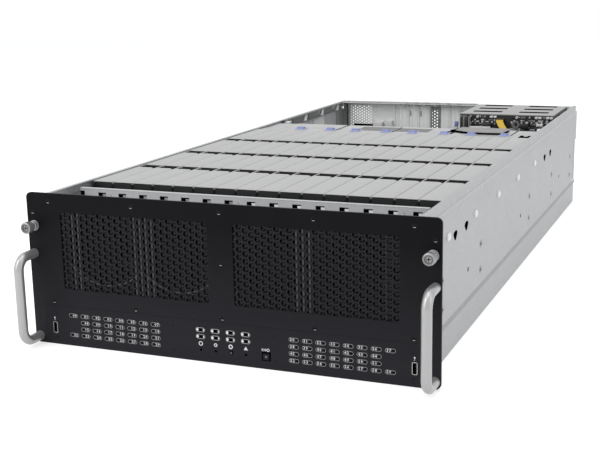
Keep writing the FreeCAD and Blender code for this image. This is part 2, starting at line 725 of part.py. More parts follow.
def front_rail():
    """Trough behind the panel's top edge; its rear face has a window by every column but the first."""
    front = PANEL_BACK + SHEET
    skin = [(RAIL_BACK, RAIL_TOP - RAIL_SKIRT), (RAIL_BACK, RAIL_TOP), (RAIL_FACE, RAIL_TOP),
            (RAIL_FACE, RAIL_FLOOR), (front, RAIL_FLOOR), (front, RAIL_TOP)]
    half = CREST_IN - RAIL_END
    rail = prism(outline_yz(sheet_outline(skin, SHEET), -half), V(2 * half, 0, 0))
    top = RAIL_TOP - RAIL_WINDOW_TOP
    cuts = screw_clearance()
    tabs = []
    for k in range(1, COLUMNS):
        middle = COLUMN_LEFT + COLUMN_PITCH * k + RAIL_WINDOW_SHIFT
        x = around(middle, RAIL_WINDOW_W)
        low = top - RAIL_WINDOW_H
        cuts.append(block(x, (RAIL_FACE - 2 * SHEET, RAIL_FACE + 2 * SHEET), (low, top)))
        tab_y = (RAIL_FACE + SHEET / 2, RAIL_FACE + 3 * SHEET / 2)
        tabs.append(block((middle, x[1] + SHEET), tab_y, (low - SHEET, top - RAIL_TAB_DROP)))
    return rail.cut(cuts).fuse(tabs).removeSplitter()


def row_crossbars():
    """Channels across the cage between the rows, with a tab up each side wall."""
    bars = []
    half = WALL_IN - FIT
    for middle in STUD_ROWS:
        y = around(middle, CROSSBAR_W)
        low = CROSSBAR_TOP - CROSSBAR_H
        skin = [(y[1], low), (y[1], CROSSBAR_TOP), (y[0], CROSSBAR_TOP), (y[0], low)]
        bar = prism(outline_yz(sheet_outline(skin, SHEET), -half), V(2 * half, 0, 0))
        tab = block((half - SHEET, half), around(middle, CROSSBAR_TAB), (low, CROSSBAR_TOP + CROSSBAR_TAB_H))
        bars.append(bar.fuse([tab, mirrored(tab)]).removeSplitter())
    return bars


def backplanes():
    """One board per row with an upright disk connector per bay."""
    boards = []
    half = -COLUMN_LEFT
    for row in range(ROWS):
        start = ROW_START + ROW_PITCH * row
        middle = start + CARRIER_L / 2
        top = BACKPLANE_Z + BOARD_T
        board = block((-half, half), (start + RIB_W / 2, start + CARRIER_L - RIB_W / 2), (BACKPLANE_Z, top))
        plugs = [block(around(COLUMN_LEFT + COLUMN_PITCH * (k + 0.5), CONNECTOR_W),
                       around(middle, 6 * CONNECTOR_W), (top, CARRIER_FOOT - BAY_GAP))
                 for k in range(COLUMNS)]
        boards.append(board.fuse(plugs))
    return boards


def tray():
    """Disk carrier frame: lid with a cut corner, and a leg down each end."""
    lid_low = CARRIER_TOP - SHEET
    plan = [(0, 0), (CARRIER_W, 0), (CARRIER_W, CARRIER_L - LID_CORNER), (CARRIER_W - LID_CORNER, CARRIER_L),
            (0, CARRIER_L)]
    lid = prism(outline_xy(plan, lid_low), V(0, 0, SHEET))
    leg = (LATCH_T + RUN, LATCH_T + RUN + SHEET)
    front = block((0, CARRIER_W), leg, (CARRIER_FOOT, lid_low))
    rear = block((0, CARRIER_W - LID_CORNER), (CARRIER_L - SHEET, CARRIER_L), (CARRIER_FOOT, lid_low))
    return lid.fuse([front, rear]).removeSplitter()


def disk():
    """Disk standing on its connector edge between the carrier's legs."""
    start = LATCH_T + RUN + SHEET + FIT
    height = (CARRIER_FOOT, CARRIER_FOOT + DISK_H)
    return block(around(CARRIER_W / 2, DISK_W), (start, start + DISK_L), height)


def latch():
    """Lever on the carrier's front, hinged along its foot, with clipped upper corners."""
    top = CARRIER_TOP - SHEET - RUN
    face = [(0, LATCH_FOOT), (CARRIER_W, LATCH_FOOT), (CARRIER_W, top - LATCH_CORNER),
            (CARRIER_W - LATCH_CORNER, top), (LATCH_CORNER, top), (0, top - LATCH_CORNER)]
    return prism(outline_xz(face, 0), V(0, LATCH_T, 0))


def bay_place(row, column):
    return V(COLUMN_LEFT + COLUMN_PITCH * column + BAY_GAP, ROW_START + ROW_PITCH * row, 0)


def is_blank(row, column):
    """The two middle rows have an empty carrier at each end."""
    return row in (1, 2) and column in (0, COLUMNS - 1)


def disk_bays():
    """Groups of parked carriers, and one carrier per row that lifts out by itself."""
    pieces = {"parked_trays": [], "parked_disks": [], "parked_latches": []}
    shapes = (tray(), disk(), latch())
    for row in range(ROWS):
        for column in range(COLUMNS):
            frame, store, lever = (shape.translated(bay_place(row, column)) for shape in shapes)
            if column == MOVING_COLUMN:
                pieces["tray_%d" % (row + 1)] = [frame]
                pieces["disk_%d" % (row + 1)] = [store]
                pieces["latch_%d" % (row + 1)] = [lever]
                continue
            pieces["parked_trays"].append(frame)
            pieces["parked_latches"].append(lever)
            if not is_blank(row, column):
                pieces["parked_disks"].append(store)
    return pieces


def fan_wall():
    """Bulkhead behind the disks with a shelf and guides for the fan modules."""
    half = INNER_HALF
    shelf_top = MODULE_LOW - FIT
    end = MODULE_START + MODULE_DEEP + SHEET
    plate = block((-half, half), (WALL_FRONT, WALL_FRONT + SHEET), (SHEET, WALL_TOP))
    through = (WALL_FRONT - FIT, WALL_FRONT + 2 * SHEET)
    ducts = [rod_y(FIRST_MODULE_X + MODULE_PITCH * k, MODULE_Z, MODULE_BORE, through) for k in range(MODULES)]
    skin = [(end, SHEET), (end, shelf_top), (WALL_FRONT + SHEET / 2, shelf_top)]
    shelf = prism(outline_yz(sheet_outline(skin, SHEET), -half), V(2 * half, 0, 0))
    guides = []
    for k in range(MODULES + 1):
        x = FIRST_MODULE_X + MODULE_PITCH * (k - 0.5)
        guides.append(block(around(x, SHEET), (WALL_FRONT, end), (shelf_top - SHEET / 2, MODULE_TOP)))
    edge = MODULE_PITCH * MODULES / 2
    roof = block((edge, half), (WALL_FRONT, end), (WALL_TOP - SHEET, WALL_TOP))
    return plate.cut(ducts).fuse([shelf] + guides + [roof, mirrored(roof)]).removeSplitter()


def fan_modules():
    """Drop-in fan modules with two finger tabs on top, and their rotors."""
    modules = []
    rotors = []
    y = (MODULE_START, MODULE_START + MODULE_DEEP)
    for k in range(MODULES):
        x = FIRST_MODULE_X + MODULE_PITCH * k
        body = fan_frame(around(x, MODULE_W), (MODULE_LOW, MODULE_TOP), y, MODULE_BORE, x, MODULE_Z)
        middle = (y[0] + y[1]) / 2
        height = (MODULE_TOP, MODULE_TOP + TAB_H)
        tabs = [block(around(x + side * TAB_X, TAB_W), around(middle, TAB_L), height) for side in (-1, 1)]
        modules.append(body.fuse(tabs))
        rotors.append(fan_rotor(x, MODULE_Z, rotor_span(y), MODULE_BORE - FAN_TIP_GAP))
    return modules, rotors


def rear_panel():
    """Rear wall with windows for the vent plate, card slots, sockets and power supplies."""
    z = (SHEET, CARRIER_TOP)
    holes = [rectangle_xz((REAR_VENT_LEFT, REAR_VENT_RIGHT), (REAR_VENT_LOW, REAR_VENT_TOP))]
    for k in range(SLOTS):
        x = SLOT_FIRST + SLOT_PITCH * (k + 0.5)
        holes.append(rectangle_xz(around(x, SLOT_OPEN_W), (SLOT_LOW + SLOT_W / 2, SLOT_TOP - SLOT_W / 2)))
    holes.append(rectangle_xz((IO_LEFT, IO_RIGHT), (SINK_Z - FIT, IO_TOP)))
    bay = (CAGE_LOW + SHEET, CAGE_TOP - 2 * SHEET)
    holes.append(rectangle_xz((CAGE_LEFT + SHEET, CAGE_RIGHT - SHEET), bay))
    panel = perforated_plate((-INNER_HALF, INNER_HALF), (REAR_FACE - SHEET, REAR_FACE), z, holes)
    fold = (REAR_FACE - SLOT_W, REAR_FACE - SHEET / 2)
    lip = block((-INNER_HALF, CAGE_LEFT - FIT), fold, (z[1] - SHEET, z[1]))
    return panel.fuse(lip).removeSplitter()


def slot_covers():
    """Card slot covers with a screw tab folded forward, and the hexagon vent plate beside them."""
    x = (REAR_VENT_LEFT, REAR_VENT_RIGHT)
    z = (REAR_VENT_LOW, REAR_VENT_TOP)
    holes = hex_holes(x, z, HEX_PITCH, HEX_RIB, HEX_MARGIN)
    lap_x = (x[0] - GRILLE_LAP, x[1] + GRILLE_LAP)
    lap_z = (z[0] - GRILLE_LAP, z[1] + GRILLE_LAP)
    covers = [perforated_plate(lap_x, (WALL_END - GRILLE_T, WALL_END), lap_z, holes)]
    top = SLOT_TOP
    for k in range(SLOTS):
        x = around(SLOT_FIRST + SLOT_PITCH * (k + 0.5), SLOT_W)
        skin = [(WALL_END, SLOT_LOW), (WALL_END, top), (WALL_END - SLOT_W / 2, top)]
        covers.append(prism(outline_yz(sheet_outline(skin, SHEET), x[0]), V(SLOT_W, 0, 0)))
    return covers


def mainboard():
    """Board with two processor sockets, memory sockets and the rear connector stack."""
    board = block((BOARD_LEFT, BOARD_RIGHT), (BOARD_START, BOARD_END), (BOARD_Z, SINK_Z))
    sockets = []
    for x in SINK_X:
        seat = around(x, SINK_SIDE - 4 * SINK_BASE)
        sockets.append(block(seat, around(SINK_Y, SINK_SIDE - 4 * SINK_BASE), (SINK_Z, SINK_Z + SINK_BASE)))
    for x in dimm_places():
        length = around(SINK_Y, DIMM_L + 2 * DIMM_T)
        sockets.append(block(around(x, 2 * DIMM_T), length, (SINK_Z, SINK_Z + SINK_BASE)))
    ports = []
    width = (IO_RIGHT - IO_LEFT) / 5
    for k in range(5):
        x = around(IO_LEFT + width * (k + 0.5), width - 4 * SHEET)
        top = IO_TOP - 4 * SHEET - 3 * (k % 2) * SHEET
        shell = block(x, (REAR_FACE - 2 * width, REAR_FACE), (SINK_Z, top))
        mouth = block((x[0] + SHEET, x[1] - SHEET), (REAR_FACE - USB_DEEP, REAR_FACE),
                      (SINK_Z + 2 * SHEET, top - SHEET))
        ports.append(shell.cut(mouth))
    return [board.fuse(sockets)] + ports


def dimm_places():
    """x of every memory module, a bank on each side of each processor."""
    places = []
    for x in SINK_X:
        for side in (-1, 1):
            first = SINK_SIDE / 2 + DIMM_PITCH
            places += [x + side * (first + DIMM_PITCH * k) for k in range(DIMMS_PER_BANK)]
    return places


def memory_modules():
    low = SINK_Z + SINK_BASE + FIT
    return [block(around(x, DIMM_T), around(SINK_Y, DIMM_L), (low, low + DIMM_H)) for x in dimm_places()]


def heatsinks():
    """Finned coolers with fins along the air stream."""
    sinks = []
    low = SINK_Z + SINK_BASE + FIT
    pitch = (SINK_SIDE - SINK_FIN_T) / (SINK_FINS - 1)
    for x in SINK_X:
        left = x - SINK_SIDE / 2
        comb = [(left, low), (left + SINK_SIDE, low)]
        for k in range(SINK_FINS - 1, -1, -1):
            fin = left + pitch * k
            comb += [(fin + SINK_FIN_T, low + SINK_H), (fin, low + SINK_H)]
            if k > 0:
                comb += [(fin, low + SINK_BASE), (fin - pitch + SINK_FIN_T, low + SINK_BASE)]
        sinks.append(prism(outline_xz(comb, SINK_Y - SINK_SIDE / 2), V(0, SINK_SIDE, 0)))
    return sinks


def psu_cage():
    """Folded cage for two power supplies with long slots in its roof."""
    y = (CAGE_START, WALL_END)
    skin = [(CAGE_RIGHT, SHEET), (CAGE_RIGHT, CAGE_TOP), (CAGE_LEFT, CAGE_TOP), (CAGE_LEFT, CAGE_LOW),
            (CAGE_RIGHT - SHEET - FIT, CAGE_LOW)]
    cage = prism(outline_xz(sheet_outline(skin, SHEET), y[0]), V(0, y[1] - y[0], 0))
    wall = block(around(SUPPLY_MID, SHEET), y, (CAGE_LOW + SHEET / 2, CAGE_TOP - SHEET / 2))
    slots = []
    for side in (-1, 1):
        for k in range(3):
            slot_y = around(CAGE_SLOT_FIRST + CAGE_SLOT_PITCH * k, CAGE_SLOT_W)
            x = around(SUPPLY_MID + side * SUPPLY_PITCH / 2, CAGE_SLOT_L)
            slots.append(block(x, slot_y, (CAGE_TOP - SHEET - FIT, CAGE_TOP + FIT)))
    return cage.fuse(wall).removeSplitter().cut(slots)


def power_supply(side):
    """Slide-in supply: case with a fan mouth, an inlet and a grip at the rear."""
    x = SUPPLY_MID + side * SUPPLY_PITCH / 2
    low = CAGE_LOW + SHEET + FIT
    middle = low + SUPPLY_H / 2
    case = block(around(x, SUPPLY_W), (CAGE_START + 2 * SHEET, REAR_FACE), (low, low + SUPPLY_H))
    sunk = (REAR_FACE - USB_DEEP, REAR_FACE + FIT)
    cuts = [rod_y(x - SUPPLY_W / 4, middle, SUPPLY_FAN_R, sunk)]
    cuts.append(block(around(x + SUPPLY_W / 3, INLET_W), sunk, around(middle, INLET_H)))
    half = SUPPLY_GRIP_W / 2
    skin = [(x + half, REAR_FACE - SHEET), (x + half, REAR_FACE + SUPPLY_GRIP),
            (x - half, REAR_FACE + SUPPLY_GRIP), (x - half, REAR_FACE - SHEET)]
    grip = prism(outline_xy(sheet_outline(skin, SUPPLY_GRIP_T), middle + INLET_H / 2),
                 V(0, 0, SUPPLY_H / 2 - INLET_H / 2 - FIT))
    return case.cut(cuts).fuse(grip).removeSplitter()


def power_board():
    """Board across the cage's mouth with the plugs for the disk and board leads."""
    back = CAGE_START - FIT
    board = block((CAGE_LEFT, CAGE_RIGHT), (back - POWER_BOARD_T, back), (CAGE_LOW, CAGE_TOP - SHEET))
    plugs = []
    for k in range(5):
        x = around(CAGE_LEFT + (CAGE_RIGHT - CAGE_LEFT) * (k + 0.5) / 5, 2 * RIBBON_W)
        low = CAGE_LOW + RIBBON_W * (1 + k % 2)
        deep = (back - POWER_BOARD_T - PLUG_DEEP, back - POWER_BOARD_T)
        plugs.append(block(x, deep, (low, low + 1.4 * RIBBON_W)))
    return board.fuse(plugs).removeSplitter()


def ribbon_cable():
    """Flat lead from the power board down to the mainboard, in two round bends."""
    top = RIBBON_TOP
    start = CAGE_START - FIT - POWER_BOARD_T
    fall = start - PLUG_DEEP - 2 * RIBBON_BEND
    low = SINK_Z + FIT
    skin = [(start, top), (fall, top), (fall, low)]
    strip = prism(outline_yz(sheet_outline(skin, RIBBON_T), RIBBON_X), V(RIBBON_W, 0, 0))
    outer = [e for e in edges_along(strip, X_AXIS)
             if e.BoundBox.YMax < fall + FIT and e.BoundBox.ZMin > top - FIT]
    strip = strip.makeFillet(RIBBON_BEND + RIBBON_T, outer)
    corner = top - RIBBON_T
    inner = [e for e in edges_along(strip, X_AXIS)
             if abs(e.BoundBox.YMin - fall - RIBBON_T) < FIT and abs(e.BoundBox.ZMin - corner) < FIT]
    return strip.makeFillet(RIBBON_BEND, inner)


def cover_rails():
    """Dark channels inside the wall crests that guide the rear lid, with four slots each."""
    x = CREST_IN - FIT
    top = CHASSIS_H - SHEET - FIT
    low = top - COVER_RAIL_H
    skin = [(x - COVER_RAIL_W, low), (x, low), (x, top), (x - COVER_RAIL_W, top)]
    length = WALL_END - SLOT_W - COVER_RAIL_START
    rail = prism(outline_xz(sheet_outline(skin, SHEET), COVER_RAIL_START), V(0, length, 0))
    pitch = length / COVER_SLOTS
    slots = [block((x - 2 * SHEET, x + FIT), around(COVER_RAIL_START + pitch * (k + 0.5), 2 * COVER_RAIL_H),
                   around((low + top) / 2, COVER_RAIL_W)) for k in range(COVER_SLOTS)]
    right = rail.cut(slots)
    return [right, mirrored(right)]


def wall_studs():
    """Studs that hold the crossbars to the side walls."""
    studs = []
    for y in STUD_ROWS:
        studs.append(rod_x(y, STUD_Z, STUD_R, (HALF, HALF + STUD_PROUD)))
        studs.append(mirrored(studs[-1]))
    return studs


def model():
    """Every node's name with its list of solids."""
    frames, rotors = front_fans()
    modules, module_rotors = fan_modules()
    right = side_wall()
    nodes = {
        "base_pan": [base_pan()],
        "side_wall_right": [right],
        "side_wall_left": [mirrored(right)],
        "rear_panel": [rear_panel()],
        "front_panel": [front_panel()],
        "control_plate": [control_plate()],
        "vent_grilles": vent_grilles(),
        "handle_left": [handle(-1)],
        "handle_right": [handle(1)],
        "panel_screws": panel_screws(),
        "thumbscrew_left": [thumbscrew(-1)],
        "thumbscrew_right": [thumbscrew(1)],
        "indicator_board": [indicator_board()],
        "usb_ports": usb_ports(),
        "power_button": [power_button()],
        "id_button": [id_button()],
        "front_fan_frames": frames,
        "front_fan_shelf": [front_fan_shelf()],
        "front_rail": [front_rail()],
        "row_crossbars": row_crossbars(),
        "backplanes": backplanes(),
        "fan_wall": [fan_wall()],
        "mainboard": mainboard(),
        "heatsinks": heatsinks(),
        "memory_modules": memory_modules(),
        "slot_covers": slot_covers(),
        "psu_cage": [psu_cage()],
        "psu_left": [power_supply(-1)],
        "psu_right": [power_supply(1)],
        "power_board": [power_board()],
        "ribbon_cable": [ribbon_cable()],
        "cover_rails": cover_rails(),
        "wall_studs": wall_studs(),
    }
    for k in range(4):
        nodes["front_rotor_%d" % (k + 1)] = [rotors[k]]
    for k in range(MODULES):
        nodes["fan_module_%d" % (k + 1)] = [modules[k]]
        nodes["fan_rotor_%d" % (k + 1)] = [module_rotors[k]]
    nodes.update(disk_bays())
    return nodes


def export(nodes):
    os.makedirs("parts", exist_ok=True)
    for name, solids in nodes.items():
        shape = solids[0] if len(solids) == 1 else Part.makeCompound(solids)
        shape.translated(V(0, FRONT_Y, 0)).exportStep("parts/%s.step" % name)


export(model())
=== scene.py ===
import json
import math
from collections import namedtuple

import bmesh
import bpy
from mathutils import Matrix, Vector


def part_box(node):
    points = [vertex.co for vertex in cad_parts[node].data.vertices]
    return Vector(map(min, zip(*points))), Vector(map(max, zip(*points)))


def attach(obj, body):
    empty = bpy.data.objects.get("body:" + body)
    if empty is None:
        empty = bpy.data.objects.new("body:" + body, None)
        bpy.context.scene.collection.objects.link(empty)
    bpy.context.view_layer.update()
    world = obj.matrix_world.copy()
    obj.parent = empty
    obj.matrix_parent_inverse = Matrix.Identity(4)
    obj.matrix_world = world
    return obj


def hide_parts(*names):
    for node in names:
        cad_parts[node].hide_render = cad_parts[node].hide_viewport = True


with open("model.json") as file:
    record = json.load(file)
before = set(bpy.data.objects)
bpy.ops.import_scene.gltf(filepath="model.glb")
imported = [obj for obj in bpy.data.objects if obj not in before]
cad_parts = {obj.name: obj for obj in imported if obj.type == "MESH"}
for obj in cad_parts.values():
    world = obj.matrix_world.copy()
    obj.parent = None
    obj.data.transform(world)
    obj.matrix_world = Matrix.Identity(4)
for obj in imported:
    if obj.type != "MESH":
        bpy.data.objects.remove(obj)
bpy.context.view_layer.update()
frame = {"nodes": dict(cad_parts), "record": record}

# Rack server with its lids off: finishes, printed marks and fine parts around the fixed frame.
# Sizes are in millimetres, and the functions that add to a mesh turn them into metres. Only the
# lamps, the floor and the materials are given in metres. A depth d counts back from the panel's face.

MM = 0.001
RECORD = frame["record"]
NODES = frame["nodes"]
SIDES = (-1, 1)
Corner = namedtuple("Corner", "x y z")


def metres(values):
    """Vector in metres of lengths in millimetres."""
    return Vector([value * MM for value in values])


def box(node):
    """Low and high corner of a node."""
    return [Corner(*(value / MM for value in corner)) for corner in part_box(node)]


def middle_of(corners):
    """Point halfway between two corners."""
    return Corner(*((low + high) / 2 for low, high in zip(*corners)))


def around(middle, width):
    """Low and high ends of a width centred on a point."""
    return (middle - width / 2, middle + width / 2)


def inside(ends, rim):
    """Pair of ends drawn in by a rim."""
    return (ends[0] + rim, ends[1] - rim)


def mirrored(side, first, second):
    """Low and high ends of a stretch of x on the left (-1) or right (1) half."""
    return sorted((side * first, side * second))


def new_meshes(count):
    """Several empty meshes."""
    return [bmesh.new() for _ in range(count)]


FRONT = box("front_panel")[0].y

# Stage

# Camera, found from the panel's corners and the chassis edges
LENS = 66.2
SENSOR = 36.0
CAMERA_PLACE = (508.3, FRONT - 1017.1, 403.4)
CAMERA_PITCH = -0.2244
CAMERA_ROLL = 0.0193
CAMERA_TURN = 0.3884

# Name, place, aim, size and watts of each lamp
SOFTBOXES = (
    ("key_softbox", (-1.6, -2.2, 2.6), (0, 0, 0.1), (1.8, 1.4), 26),
    ("top_softbox", (0.1, -0.25, 2.4), (0, 0.1, 0.1), (1.6, 2.2), 20),
    ("front_softbox", (-1.2, -1.8, 0.8), (-0.05, -0.5, 0.1), (1.2, 0.9), 5.5),
    ("side_softbox", (2.6, -0.4, 1.3), (0.2, 0, 0.1), (1.4, 2.0), 9),
)
FLOOR_REACH = 6.0


def add_object(name, data):
    """New object in the scene."""
    made = bpy.data.objects.new(name, data)
    bpy.context.scene.collection.objects.link(made)
    return made


def add_camera():
    """Camera that pitches about its right axis, rolls about its view axis and turns about the upright."""
    data = bpy.data.cameras.new("photo_camera")
    data.lens = LENS
    data.sensor_width = SENSOR
    data.clip_start = 0.01
    camera = add_object("photo_camera", data)
    rotation = (Matrix.Rotation(CAMERA_TURN, 3, "Z") @ Matrix.Rotation(CAMERA_PITCH, 3, "X")
                @ Matrix.Rotation(CAMERA_ROLL, 3, "Y"))
    right, forward, up = rotation.transposed()
    axes = Matrix((right, up, -forward)).transposed().to_4x4()
    camera.matrix_world = Matrix.Translation(metres(CAMERA_PLACE)) @ axes
    bpy.context.scene.camera = camera


def add_softbox(name, place, aim, size, power):
    """Rectangular lamp that faces a point."""
    data = bpy.data.lights.new(name, "AREA")
    data.shape = "RECTANGLE"
    data.size, data.size_y = size
    data.energy = power
    lamp = add_object(name, data)
    lamp.location = place
    lamp.rotation_euler = (Vector(aim) - Vector(place)).to_track_quat("-Z", "Y").to_euler()


def set_inputs(tree, node, inputs):
    """Give a node's inputs their numbers, or links from other nodes."""
    for name, value in inputs.items():
        if isinstance(value, bpy.types.NodeSocket):
            tree.links.new(value, node.inputs[name])
        else:
            node.inputs[name].default_value = value


def new_node(tree, kind, inputs, **settings):
    """New shader node with its settings and inputs."""
    node = tree.nodes.new("ShaderNode" + kind)
    for name, value in settings.items():
        setattr(node, name, value)
    set_inputs(tree, node, inputs)
    return node


def combine(tree, operation, first, second):
    """Result of a math node."""
    return new_node(tree, "Math", {0: first, 1: second}, operation=operation).outputs[0]


def seen_directly(tree):
    """1 for rays from the camera, from a reflection or through glass, otherwise 0."""
    path = new_node(tree, "LightPath", {}).outputs
    either = combine(tree, "MAXIMUM", path["Is Camera Ray"], path["Is Glossy Ray"])
    return combine(tree, "MAXIMUM", either, path["Is Transmission Ray"])


def add_world():
    """Soft light from all round, with a white background where it is seen directly."""
    world = bpy.data.worlds.new("studio")
    world.use_nodes = True
    tree = world.node_tree
    tree.nodes.clear()
    soft = new_node(tree, "Background", {"Color": (0.97, 0.985, 1, 1), "Strength": 0.55})
    white = new_node(tree, "Background", {"Color": (1, 1, 1, 1)})
    mix = new_node(tree, "MixShader", {0: seen_directly(tree), 1: soft.outputs[0], 2: white.outputs[0]})
    new_node(tree, "OutputWorld", {0: mix.outputs[0]})
    bpy.context.scene.world = world


def floor_material():
    """Pale grey, lifted to white where it is seen directly."""
    material = bpy.data.materials.new("pale_floor")
    material.use_nodes = True
    tree = material.node_tree
    shader = tree.nodes["Principled BSDF"]
    set_inputs(tree, shader, {"Base Color": (0.82, 0.82, 0.82, 1), "Roughness": 0.9})
    lift = new_node(tree, "Emission", {"Color": (0.5, 0.5, 0.5, 1), "Strength": seen_directly(tree)})
    total = new_node(tree, "AddShader", {0: shader.outputs[0], 1: lift.outputs[0]})
    set_inputs(tree, tree.nodes["Material Output"], {"Surface": total.outputs[0]})
    return material


def add_floor():
    """Flat floor under the server."""
    bm = bmesh.new()
    bmesh.ops.create_grid(bm, x_segments=1, y_segments=1, size=FLOOR_REACH)
    mesh = bpy.data.meshes.new("floor")
    bm.to_mesh(mesh)
    bm.free()
    mesh.materials.append(floor_material())
    floor = add_object("floor", mesh)


def add_stage():
    """Camera, background, floor and lamps."""
    add_camera()
    add_world()
    add_floor()
    for softbox in SOFTBOXES:
        add_softbox(*softbox)
    bpy.context.scene.view_settings.view_transform = "Standard"


# Surface effects, each a node group with a Scale input and Tone, Gloss and Height outputs


def effect_group(name):
    """Group with the sockets that every surface effect has, its scale and its object coordinates."""
    group = bpy.data.node_groups.new(name, "ShaderNodeTree")
    group.interface.new_socket(name="Scale", in_out="INPUT", socket_type="NodeSocketFloat")
    for output in ("Tone", "Gloss", "Height"):
        group.interface.new_socket(name=output, in_out="OUTPUT", socket_type="NodeSocketFloat")
    scale = group.nodes.new("NodeGroupInput").outputs["Scale"]
    return group, scale, new_node(group, "TexCoord", {}).outputs["Object"]


def lead_out(group, tone, gloss, height):
    """Group whose three results are led to its outputs."""
    set_inputs(group, group.nodes.new("NodeGroupOutput"), {"Tone": tone, "Gloss": gloss, "Height": height})
    return group


def noise(group, vector, scale, detail, factor=1.0):
    """Noise texture whose scale is the group's scale times a factor."""
    size = combine(group, "MULTIPLY", scale, factor)
    return new_node(group, "TexNoise", {"Vector": vector, "Scale": size, "Detail": detail}).outputs["Fac"]


def blend(group, first, second, share):
    """Weighted middle of two values."""
    return new_node(group, "Mix", {"Factor": share, "A": first, "B": second}).outputs["Result"]


def zinc_spangle():
    """Flaky crystals of a zinc coat with a fine grain over them."""
    group, scale, vector = effect_group("zinc_spangle")
    flakes = new_node(group, "TexVoronoi", {"Vector": vector, "Scale": scale})
    split = new_node(group, "SeparateColor", {"Color": flakes.outputs["Color"]}).outputs
    cloud = noise(group, vector, scale, 3.0, 0.08)
    grain = noise(group, vector, scale, 2.0, 6.0)
    return lead_out(group, blend(group, split["Red"], cloud, 0.6), blend(group, split["Green"], grain, 0.5), grain)


def powder_grain(name, paints_light=False):
    """Orange peel of a sprayed powder coat; where it paints light, the tone is paler towards the foot of the panel, a
    painted fall-off of the light.
    """
    group, scale, vector = effect_group(name)
    peel = noise(group, vector, scale, 2.0)
    cloud = noise(group, vector, scale, 2.0, 0.02)
    if paints_light:
        # Painted light: the tone is pale up to 2 cm and dark from 15 cm up, a painted fall-off of the light up the
        # panel.
        height = new_node(group, "SeparateXYZ", {"Vector": vector}).outputs["Z"]
        fade = new_node(group, "MapRange", {"Value": height, "From Min": 0.02, "From Max": 0.15,
                                            "To Min": 1.0, "To Max": 0.0})
        tone = blend(group, fade.outputs["Result"], cloud, 0.15)
    else:
        tone = blend(group, cloud, peel, 0.3)
    return lead_out(group, tone, blend(group, peel, cloud, 0.5), peel)


def drawn_lines(axis):
    """Fine lines of drawn or brushed metal along one axis."""
    group, scale, vector = effect_group("drawn_lines_" + axis)
    squeeze = [0.02 if name == axis else 1.0 for name in "XYZ"]
    stretch = new_node(group, "Mapping", {"Vector": vector, "Scale": squeeze})
    lines = noise(group, stretch.outputs["Vector"], scale, 3.0)
    cloud = noise(group, vector, scale, 2.0, 0.03)
    return lead_out(group, blend(group, lines, cloud, 0.4), lines, lines)


def moulded_grain():
    """Fine spark texture of moulded plastic."""
    group, scale, vector = effect_group("moulded_grain")
    spark = noise(group, vector, scale, 4.0)
    return lead_out(group, noise(group, vector, scale, 2.0, 0.03), spark, spark)


def copper_tracks():
    """Copper tracks and pads under the mask of a circuit board."""
    group, scale, vector = effect_group("copper_tracks")
    lanes = new_node(group, "TexBrick", {
        "Vector": vector, "Scale": scale, "Color1": (0, 0, 0, 1), "Color2": (0.35, 0.35, 0.35, 1),
        "Mortar": (1, 1, 1, 1), "Mortar Size": 0.03, "Row Height": 0.12, "Brick Width": 1.7}).outputs
    pads = new_node(group, "TexVoronoi", {"Vector": vector, "Scale": scale}, distance="CHEBYCHEV")
    near = combine(group, "LESS_THAN", pads.outputs["Distance"], 0.22)
    bright = combine(group, "MAXIMUM", lanes["Color"], near)
    return lead_out(group, bright, noise(group, vector, scale, 2.0, 8.0), lanes["Fac"])


EFFECTS = {
    "zinc": zinc_spangle(),
    "powder": powder_grain("powder_grain"),
    "fade": powder_grain("powder_painted_light", True),
    "lines_y": drawn_lines("Y"),
    "lines_z": drawn_lines("Z"),
    "moulded": moulded_grain(),
    "tracks": copper_tracks(),
}


def tint(level, warm):
    """Grey that is a little warm, or cold below zero."""
    return (level * (1 + warm), level, level * (1 - warm))


def colour(shade):
    """Colour with its alpha, from a grey level or from red, green and blue."""
    return (*shade, 1) if isinstance(shade, tuple) else (shade, shade, shade, 1)


def surface(name, effect, scale, dark, light, gloss, metal=0.0, relief=0.0, shine=0.5):
    """Material whose colour runs from dark to light and roughness over the gloss pair with an effect."""
    material = bpy.data.materials.new(name)
    material.use_nodes = True
    tree = material.node_tree
    pattern = new_node(tree, "Group", {"Scale": scale}, node_tree=EFFECTS[effect]).outputs
    mix = new_node(tree, "Mix", {"Factor": pattern["Tone"], "A": colour(dark), "B": colour(light)}, data_type="RGBA")
    sheen = new_node(tree, "MapRange", {"Value": pattern["Gloss"], "To Min": gloss[0], "To Max": gloss[1]})
    looks = {"Base Color": mix.outputs["Result"], "Roughness": sheen.outputs["Result"], "Metallic": metal,
             "Specular IOR Level": shine}
    if relief:
        bump = new_node(tree, "Bump", {"Strength": 0.5, "Distance": relief, "Height": pattern["Height"]})
        looks["Normal"] = bump.outputs["Normal"]
    set_inputs(tree, tree.nodes["Principled BSDF"], looks)
    return material


